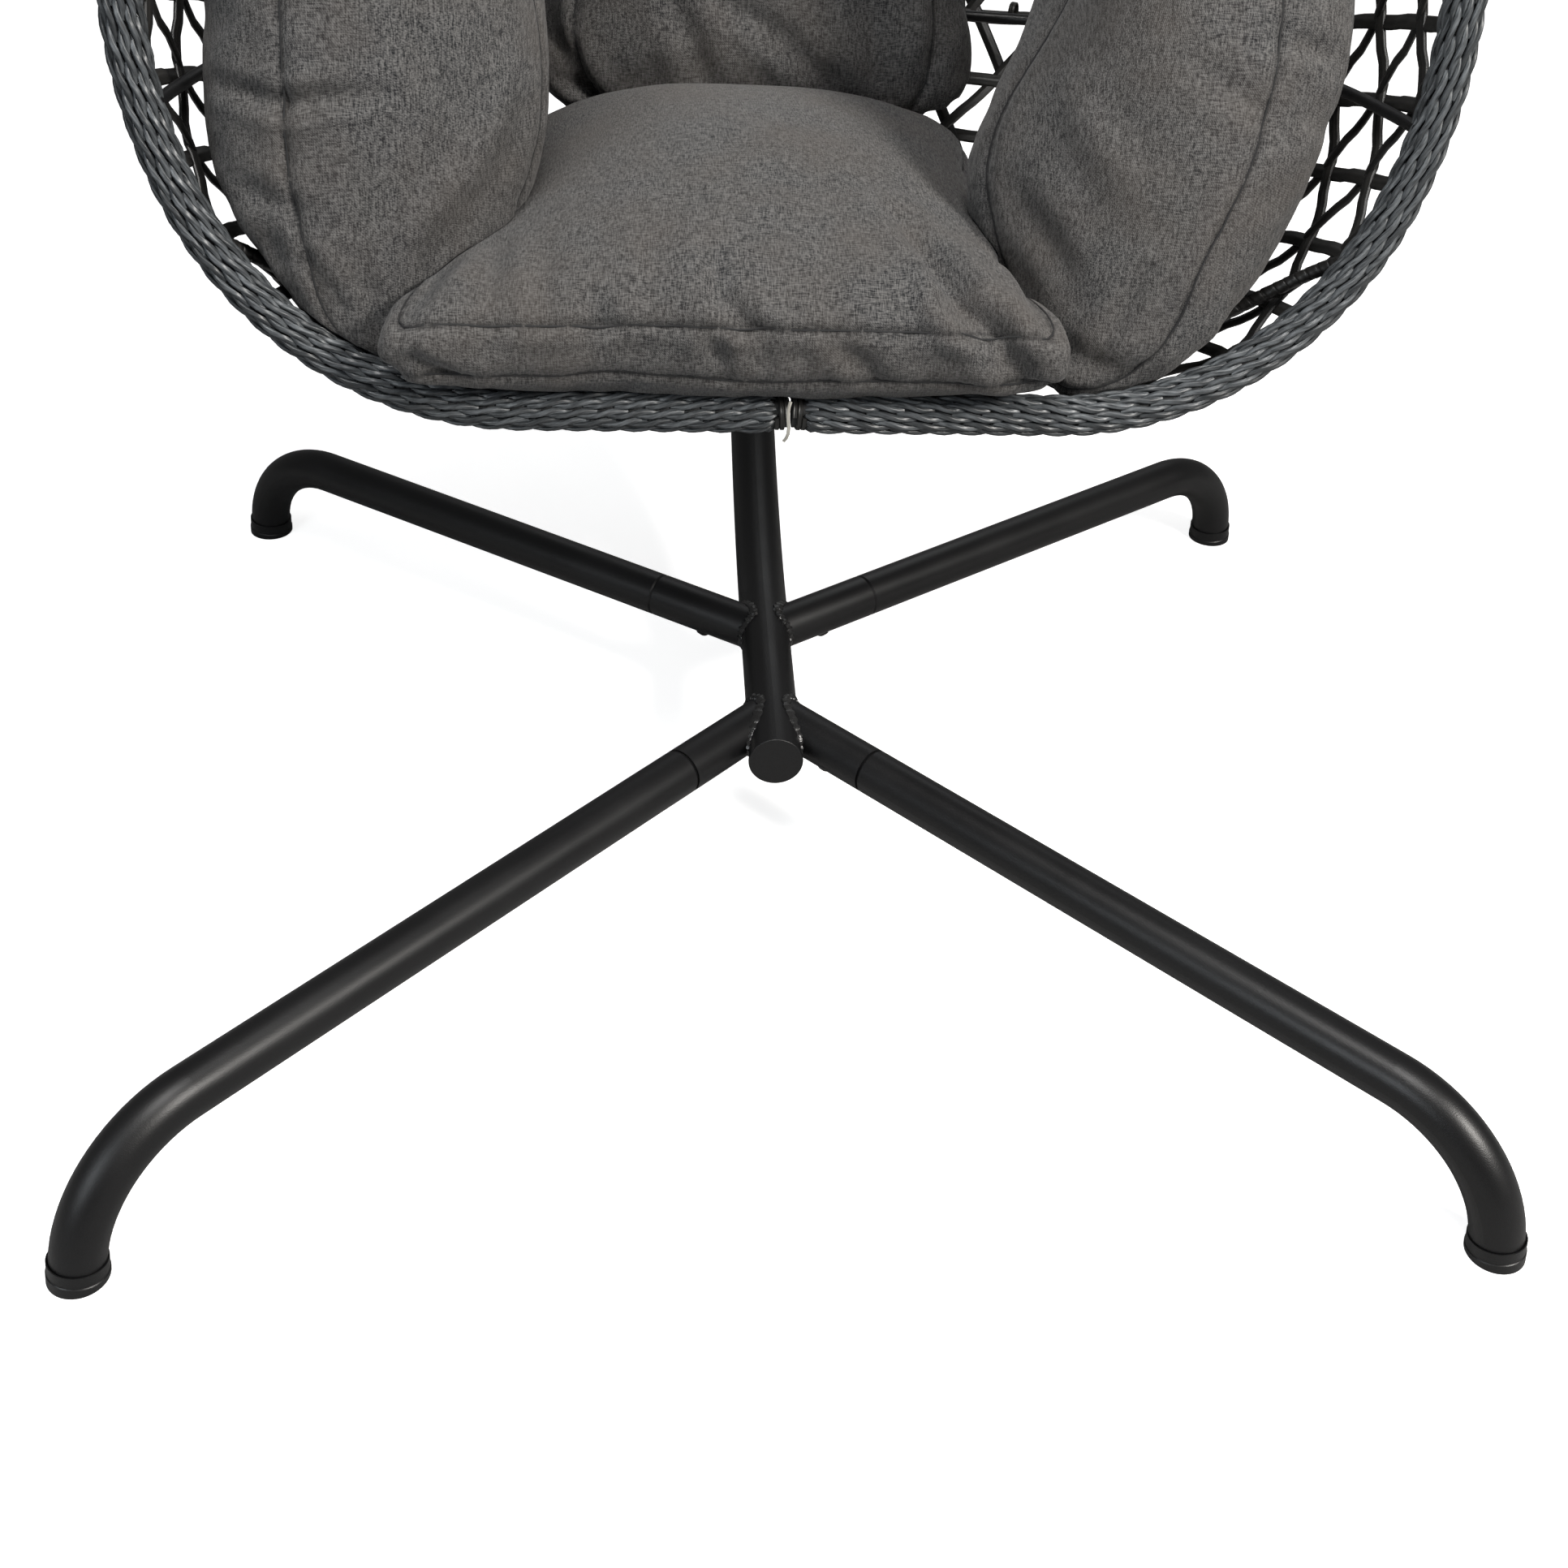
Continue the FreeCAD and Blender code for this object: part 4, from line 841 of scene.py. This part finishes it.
def makeWelds():
    strands = []
    for y, foot in ((welds["frontY"], welds["frontFoot"]), (welds["rearY"], welds["rearFoot"])):
        for side in (-1, 1):
            going = Vector((side * foot[0], foot[1], 0)).normalized()
            level = Vector((-going.y, going.x, 0))
            points, tops = [], []
            for i in range(welds["steps"] + 1):
                angle = 2 * math.pi * i / welds["steps"]
                lift = welds["socketR"] * math.sin(angle)
                offset = level * (welds["socketR"] * math.cos(angle))
                reach = (side * math.sqrt(welds["baseR"] ** 2 - lift ** 2) - offset.x) / going.x
                point = Vector((0, y, welds["axisZ"] + lift)) + offset + going * reach
                outward = offset.normalized() * abs(math.cos(angle)) + Vector((0, 0, math.sin(angle)))
                base = Vector((point.x, 0, lift)).normalized()
                points.append(point)
                tops.append((outward + base).normalized())
            layBead(strands, points, tops, welds["bead"], len(strands))
    piece = joinStrands(strands, "leg_socket_welds", weldMetal)
    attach(piece, "stand")
    low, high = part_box("hanging_eye")
    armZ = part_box("pole_end_cap")[1].z - welds["armR"] - welds["armCoat"]
    strands = []
    for y in (low.y + welds["eyeR"], high.y - welds["eyeR"]):
        points, tops = [], []
        for i in range(welds["eyeSteps"] + 1):
            angle = 2 * math.pi * i / welds["eyeSteps"]
            across = welds["eyeR"] * math.cos(angle)
            points.append(Vector((across, y + welds["eyeR"] * math.sin(angle),
                                  armZ - math.sqrt(welds["armR"] ** 2 - across ** 2))))
            tops.append(Vector((math.cos(angle), math.sin(angle), -1)).normalized())
        layBead(strands, points, tops, welds["eyeBead"], len(strands) + welds["eyeSeed"])
    piece = joinStrands(strands, "eye_welds", weldMetal)
    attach(piece, "stand")
    print("welds laid")


for side, sideName in ((-1, "left"), (1, "right")):
    makeBraid(side, sideName)
    makeLattice(side, sideName)
    makeBindings(side, sideName)
makeTieStrip()
makeWelds()


# cushions: each is swollen as cloth, then gets its seams, puckers and folds

seatPad = dict(frontY=-0.222, backEndY=0.232, frontX=-0.054, backX=-0.024, frontHalf=0.256, backHalf=0.196,
               drawIn=0.016, middleZ=0.5033, seamRise=0.0285)
bolsterTurn = math.radians(32)
bolsterSize = dict(half=0.152, thick=0.088, footShare=0.3, headShare=0.6)
uprightPads = {
    "bolster_left": dict(bolsterSize, foot=(-0.344, -0.104, 0.446), knee=(-0.328, -0.008, 0.752),
                         head=(-0.292, 0.08, 1.064), wide=(math.cos(bolsterTurn), math.sin(bolsterTurn), 0)),
    "bolster_right": dict(bolsterSize, foot=(0.276, -0.11, 0.44), knee=(0.306, -0.008, 0.742),
                          head=(0.272, 0.08, 1.05), wide=(-math.cos(bolsterTurn), math.sin(bolsterTurn), 0)),
    "back_cushion": dict(half=0.206, thick=0.075, footShare=0.85, headShare=0.8, foot=(-0.017, 0.24, 0.476),
                         knee=(-0.017, 0.293, 0.7764), head=(-0.017, 0.3459, 1.0767), wide=(1, 0, 0))}
# the order matters: a later cushion gives way to those before it
cushions = {  # tugs: place, pull and reach; folds: points, depth and half width; in millimetres
    "seat_cushion": dict(
        fill=0.7, seed=3.0,
        tugs=[((-305, -195, 500), (-6, -4, 6), 75), ((205, -195, 500), (8, -6, 4), 75),
              ((-270, -205, 462), (0, 0, 11), 80), ((-150, -205, 462), (0, 4, 10), 80),
              ((-30, -205, 462), (0, 4, 6), 80), ((90, -205, 462), (0, 4, 7), 80),
              ((190, -205, 462), (0, 0, 6), 80), ((-130, 190, 560), (0, 0, 16), 110),
              ((60, 190, 560), (0, 0, 16), 110)],
        folds=[([(85, -80, 568), (125, -174, 542), (150, -200, 529), (163, -209, 502),
                 (182, -205, 473)], 16.5, 12),
               ([(150, -60, 553), (176, -110, 535), (184, -190, 528), (200, -205, 488)], 6, 10),
               ([(-66, -150, 568), (-59, -184, 547), (-28, -209, 526), (-26, -209, 498)], 5.5, 9),
               ([(-66, -209, 528), (-58, -209, 483)], 5, 8),
               ([(26, -209, 521), (42, -209, 507), (70, -209, 471)], 5, 8.5),
               ([(-156, -180, 543), (-152, -209, 523)], 3.8, 10),
               ([(-318, -190, 483), (-289, -209, 495), (-255, -209, 471)], 7, 8),
               ([(-262, -130, 543), (-300, -205, 509)], 6, 10),
               ([(-229, -110, 551), (-236, -205, 523)], 2.8, 10),
               ([(-191, -115, 560), (-194, -205, 525)], 2.4, 10),
               ([(-110, -120, 573), (-106, -205, 528)], 2.2, 11),
               ([(20, -130, 573), (30, -205, 528)], 2.4, 11),
               ([(70, -100, 568), (95, -205, 523)], 2.6, 11)]),
    "bolster_left": dict(
        fill=0.7, seed=11.0,
        tugs=[((-335, -120, 480), (4, -12, -26), 60), ((-240, -20, 640), (20, 0, 0), 90)],
        folds=[([(-440, -100, 682), (-410, -115, 677), (-385, -118, 674), (-350, -118, 681),
                 (-320, -110, 681)], 6, 7.5), ([(-430, -120, 612), (-375, -139, 595)], 4, 10),
               ([(-240, -45, 690), (-266, -90, 620), (-317, -133, 564)], -4.5, 13),
               ([(-375, -143, 560), (-345, -140, 515)], 4.2, 8),
               ([(-345, -143, 560), (-325, -138, 515)], 3.6, 8),
               ([(-300, -90, 720), (-275, -85, 660)], 2.6, 11)]),
    "bolster_right": dict(
        fill=0.7, seed=23.0,
        tugs=[((165, 10, 770), (42, 0, 0), 95), ((165, -10, 600), (-36, -4, 0), 85),
              ((250, -130, 475), (-16, -12, -24), 60), ((380, -140, 545), (-24, 0, 16), 60),
              ((430, -100, 700), (10, 0, 0), 70)],
        folds=[([(360, -105, 738), (385, -99, 728), (415, -95, 712)], 4.5, 8),
               ([(300, -100, 715), (363, -116, 675)], 3.4, 10),
               ([(230, -115, 512), (265, -140, 500), (300, -146, 492)], 5, 8),
               ([(210, -60, 600), (240, -120, 540)], 4, 11),
               ([(225, -60, 680), (280, -110, 610)], -3.5, 14),
               ([(285, -130, 560), (262, -138, 505)], 3.6, 8)]),
    "back_cushion": dict(
        fill=0.6, seed=37.0,
        tugs=[((-215, 260, 626), (-18, 0, 0), 90), ((180, 260, 626), (18, 0, 0), 90)],
        folds=[([(-200, 250, 646), (-170, 235, 586), (-144, 221, 551)], 6, 10),
               ([(-100, 217, 676), (-55, 205, 581)], 4.5, 11),
               ([(-60, 212, 666), (0, 210, 631), (45, 208, 591)], 5, 10),
               ([(-195, 239, 586), (-144, 221, 544)], 4.5, 8), ([(70, 223, 666), (95, 218, 572)], 3.6, 11),
               ([(150, 235, 666), (130, 225, 586)], 3.6, 11)])}
padding = dict(
    weld=0.00002, voxel=0.0055, smooth=0.5, cap=0.02, share=0.62, gap=0.0008, search=0.05, braidGap=0.0184,
    guardMarks=600, grooveDepth=0.0026, grooveWide=0.0044, shadeWide=0.0022, puff=0.0012, puffAt=0.013,
    puffWide=0.009, pucker=0.0044, puckerPitch=0.034, puckerFade=0.026, puckerSpread=12, gatherLeast=0.35,
    gatherPitch=6.0, gatherLift=0.3, soft=0.003, softPitch=(9, 7, 6), foldStep=0.003, foldReach=4,
    foldRound=0.6, foldEnd=0.05, foldBank=0.45, bankAt=2.1, threadStrip=(0.0009, 0.0006, 5), seamShare=0.8,
    seamRise=0.9, seamSteps=60, endSteps=24, footRound=2.4, headRound=4, seamStep=0.004)
clothSettings = dict(
    quality=4, mass=0.25, tension_stiffness=20, compression_stiffness=20, shear_stiffness=8,
    bending_stiffness=0.4, use_pressure=True, uniform_pressure_force=6.0, shrink_min=-0.04)
clothFrames = 20
finished = []


def metres(value):  # millimetres to metres, through nested lists
    return [metres(part) for part in value] if isinstance(value, (list, tuple)) else value / 1000


def copyNode(nodeName, pieceName):
    source = nodes[nodeName]
    piece = bpy.data.objects.new(pieceName, source.data.copy())
    bpy.context.scene.collection.objects.link(piece)
    makeActive(piece)
    bpy.ops.object.mode_set(mode="EDIT")
    bpy.ops.mesh.select_all(action="SELECT")
    bpy.ops.mesh.remove_doubles(threshold=padding["weld"])
    bpy.ops.object.mode_set(mode="OBJECT")
    return piece


def applied(piece, kind, **settings):
    makeActive(piece)
    mod = piece.modifiers.new("shaping", kind)
    for key, value in settings.items():
        setattr(mod, key, value)
    bpy.ops.object.modifier_apply(modifier=mod.name)


def seatLine(t):  # the seat's middle line from front to back: centre, across, up, half width, rise
    pad = seatPad
    x = pad["frontX"] + (pad["backX"] - pad["frontX"]) * t
    y = pad["frontY"] + (pad["backEndY"] - pad["frontY"]) * t
    half = pad["frontHalf"] + (pad["backHalf"] - pad["frontHalf"]) * t
    half -= pad["drawIn"] * (1 - (2 * t - 1) ** 2)
    return Vector((x, y, pad["middleZ"])), Vector((1, 0, 0)), Vector((0, 0, 1)), half, pad["seamRise"]


def uprightLine(pad, t):  # the same for an upright cushion, from foot to head
    foot, knee, head = (Vector(pad[key]) for key in ("foot", "knee", "head"))
    along = (head - foot).normalized()
    wide = Vector(pad["wide"])
    wide = (wide - along * along.dot(wide)).normalized()
    centre = foot * ((1 - t) * (1 - 2 * t)) + knee * (4 * t * (1 - t)) + head * (t * (2 * t - 1))
    share, power = pad["headShare"], padding["headRound"]
    if t < 0.5:
        share, power = pad["footShare"], padding["footRound"]
    spread = (1 - abs(2 * t - 1) ** power) ** 0.5
    half = pad["half"] * (share + (1 - share) * spread) * padding["seamShare"]
    return centre, wide, along.cross(wide), half, pad["thick"] * padding["seamRise"]


def seamLoops(nodeName):  # the two sewn edges of a pad, as closed lines near its surface
    loops = []
    for face in (1, -1):
        near, far = [], []
        for step in range(padding["seamSteps"] + 1):
            t = step / padding["seamSteps"]
            upright = uprightPads.get(nodeName)
            centre, wide, high, half, rise = uprightLine(upright, t) if upright else seatLine(t)
            centre = centre + Vector((0, backY, 0))
            near.append(centre + wide * half + high * (rise * face))
            far.append(centre - wide * half + high * (rise * face))
        ends = []
        for first, last in ((near[-1], far[-1]), (far[0], near[0])):
            ends.append([first.lerp(last, i / padding["endSteps"]) for i in range(1, padding["endSteps"])])
        loops.append(near + ends[0] + far[::-1] + ends[1])
    return loops


def swell(piece):  # cloth under pressure, held back by a cap on how far a point may go
    before = [v.co.copy() for v in piece.data.vertices]
    makeActive(piece)
    mod = piece.modifiers.new("cloth", "CLOTH")
    for key, value in clothSettings.items():
        setattr(mod.settings, key, value)
    mod.settings.effector_weights.gravity = 0.0
    mod.collision_settings.use_collision = False
    scene = bpy.context.scene
    for number in range(1, clothFrames + 1):
        scene.frame_set(number)
    bpy.ops.object.modifier_apply(modifier=mod.name)
    scene.frame_set(1)
    for v, old in zip(piece.data.vertices, before):
        move = v.co - old
        v.co = old + move * (padding["share"] * min(1.0, padding["cap"] / max(move.length, 1e-6)))


def rimGuard():  # points along the middle of the rim, which the cushions keep clear of
    runs, length = rimRuns()
    marks = padding["guardMarks"]
    tree = kdtree.KDTree(2 * marks)
    for i in range(marks):
        for number, side in enumerate((-1, 1)):
            tree.insert(rimSpot(runs, length * i / (marks - 1), side)[0], 2 * i + number)
    tree.balance()
    return tree


guard = rimGuard()


def evened(points):  # each point of a closed line drawn towards its neighbours
    count = len(points)
    return [(points[i - 1] + points[i] * 2 + points[(i + 1) % count]) / 4 for i in range(count)]


def onSurface(tree, loop, spacing):  # a loop laid on the pad's surface, evened out
    laid = [tree.find_nearest(p)[0] for p in loop]
    laid = evened(evened(laid))
    marks = [laid[0]]
    for a, b in zip(laid, laid[1:] + laid[:1]):
        count = max(1, round((b - a).length / spacing))
        marks += [a.lerp(b, i / count) for i in range(1, count + 1)]
    return [tree.find_nearest(p)[:2] for p in marks]


def bell(x, wide):
    return math.exp(-(x / wide) ** 2)


def foldLine(tree, points):  # a fold's route laid on the surface, as a search tree, and its point count
    route = [Vector(points[0])]
    for a, b in zip(points, points[1:]):
        a, b = Vector(a), Vector(b)
        count = max(1, round((b - a).length / padding["foldStep"]))
        route += [a.lerp(b, i / count) for i in range(1, count + 1)]
    found = kdtree.KDTree(len(route))
    for i, point in enumerate(route):
        found.insert(tree.find_nearest(point)[0], i)
    found.balance()
    return found, len(route) - 1


def sewPad(piece, tree, loops, seed, foldLines):  # grooves along the seams, puckers, soft folds, and a painted shade along the seams
    mesh = piece.data
    seams = kdtree.KDTree(sum(len(loop) for loop in loops))
    arcs = []
    for loop in loops:
        length = 0.0
        for i, (point, normal) in enumerate(loop):
            length += (point - loop[i - 1][0]).length if i else 0.0
            seams.insert(point, len(arcs))
            arcs.append(length)
    seams.balance()
    p = padding
    least, soft = p["gatherLeast"], p["softPitch"]
    folds = [foldLine(tree, points) + (depth, wide) for points, depth, wide in foldLines]
    shades = []
    moves = []
    for v in mesh.vertices:
        point, index, distance = seams.find(v.co)
        arc = arcs[index]
        push = -p["grooveDepth"] * bell(distance, p["grooveWide"])
        push += p["puff"] * bell(distance - p["puffAt"], p["puffWide"])
        wave = noise.noise(Vector((arc / p["puckerPitch"], seed, distance * p["puckerSpread"])))
        gather = max(0.0, noise.noise(Vector((arc * p["gatherPitch"], seed + 5, 0))) + p["gatherLift"])
        push += p["pucker"] * wave * (least + (1 - least) * gather) * math.exp(-distance / p["puckerFade"])
        spot = Vector((v.co.x * soft[0] + seed, v.co.y * soft[1], v.co.z * soft[2]))
        push += p["soft"] * noise.noise(spot)
        for line, last, depth, wide in folds:
            place, number, off = line.find(v.co)
            if off < wide * p["foldReach"]:
                share = min(max(number / last, p["foldEnd"]), 1 - p["foldEnd"])
                bank = p["foldBank"] * bell(off - wide * p["bankAt"], wide)
                push -= depth * math.sin(math.pi * share) ** p["foldRound"] * (bell(off, wide) - bank)
        moves.append(push)
        # painted shade along the seam, which the cloth's colour reads
        shades.append(bell(distance, p["shadeWide"]))
    for v, normal, push in zip(mesh.vertices, [n.vector.copy() for n in mesh.vertex_normals], moves):
        v.co += normal * push
    shade = mesh.attributes.new("seamShade", "FLOAT", "POINT")
    shade.data.foreach_set("value", shades)


def keepClear(mesh):  # off the cushions before it and off the braid
    for v in mesh.vertices:
        for tree in finished:
            near, normal, index, distance = tree.find_nearest(v.co, padding["search"])
            if near is not None and (v.co - near).dot(normal) < padding["gap"]:
                v.co = near + normal * padding["gap"]
        near, index, distance = guard.find(v.co)
        if distance < padding["braidGap"]:
            v.co = near + (v.co - near) * (padding["braidGap"] / max(distance, 1e-6))


def pulled(point, tugs):  # where soft pulls, which set the pad's slump, take a point
    moved = point.copy()
    for place, way, reach in tugs:
        moved += Vector(way) * bell((point - Vector(place)).length, reach)
    return moved


def layThreadAndShade(nodeName, loops):  # the stitched line of each seam, a dark strand that also paints the shade in the seam's groove
    strands = []
    for loop in loops:
        laid = [finished[-1].find_nearest(point) for point, normal in loop[::2]]
        points = evened([spot[0] for spot in laid])
        tops = [spot[1] for spot in laid]
        lay(strands, points + points[:1], tops + tops[:1], padding["threadStrip"])
    piece = joinStrands(strands, "seam_" + nodeName, threadAndShadeCloth)
    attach(piece, "basket")


def makeCushion(nodeName, look):
    piece = copyNode(nodeName, "padded_" + nodeName)
    tugs, folds = metres(look["tugs"]), metres(look["folds"])
    applied(piece, "REMESH", mode="VOXEL", voxel_size=padding["voxel"])
    applied(piece, "SMOOTH", factor=padding["smooth"], iterations=8)
    swell(piece)
    applied(piece, "SMOOTH", factor=padding["smooth"], iterations=6)
    applied(piece, "SUBSURF", levels=1, render_levels=1)
    mesh = piece.data
    tree = BVHTree.FromObject(piece, bpy.context.evaluated_depsgraph_get())
    loops = [onSurface(tree, loop, padding["seamStep"]) for loop in seamLoops(nodeName)]
    sewPad(piece, tree, loops, look["seed"], folds)
    for v in mesh.vertices:
        v.co = pulled(v.co, tugs)
    keepClear(mesh)
    mesh.update()
    finished.append(BVHTree.FromObject(piece, bpy.context.evaluated_depsgraph_get()))
    layThreadAndShade(nodeName, [[(pulled(point, tugs), normal) for point, normal in loop] for loop in loops])
    makeActive(piece)
    bpy.ops.object.shade_smooth()
    setFinish(piece, finishes["charcoal_fabric"])
    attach(piece, "basket")
    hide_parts(nodeName)
    print("cushion", nodeName, len(mesh.polygons))


for nodeName, look in cushions.items():
    makeCushion(nodeName, look)
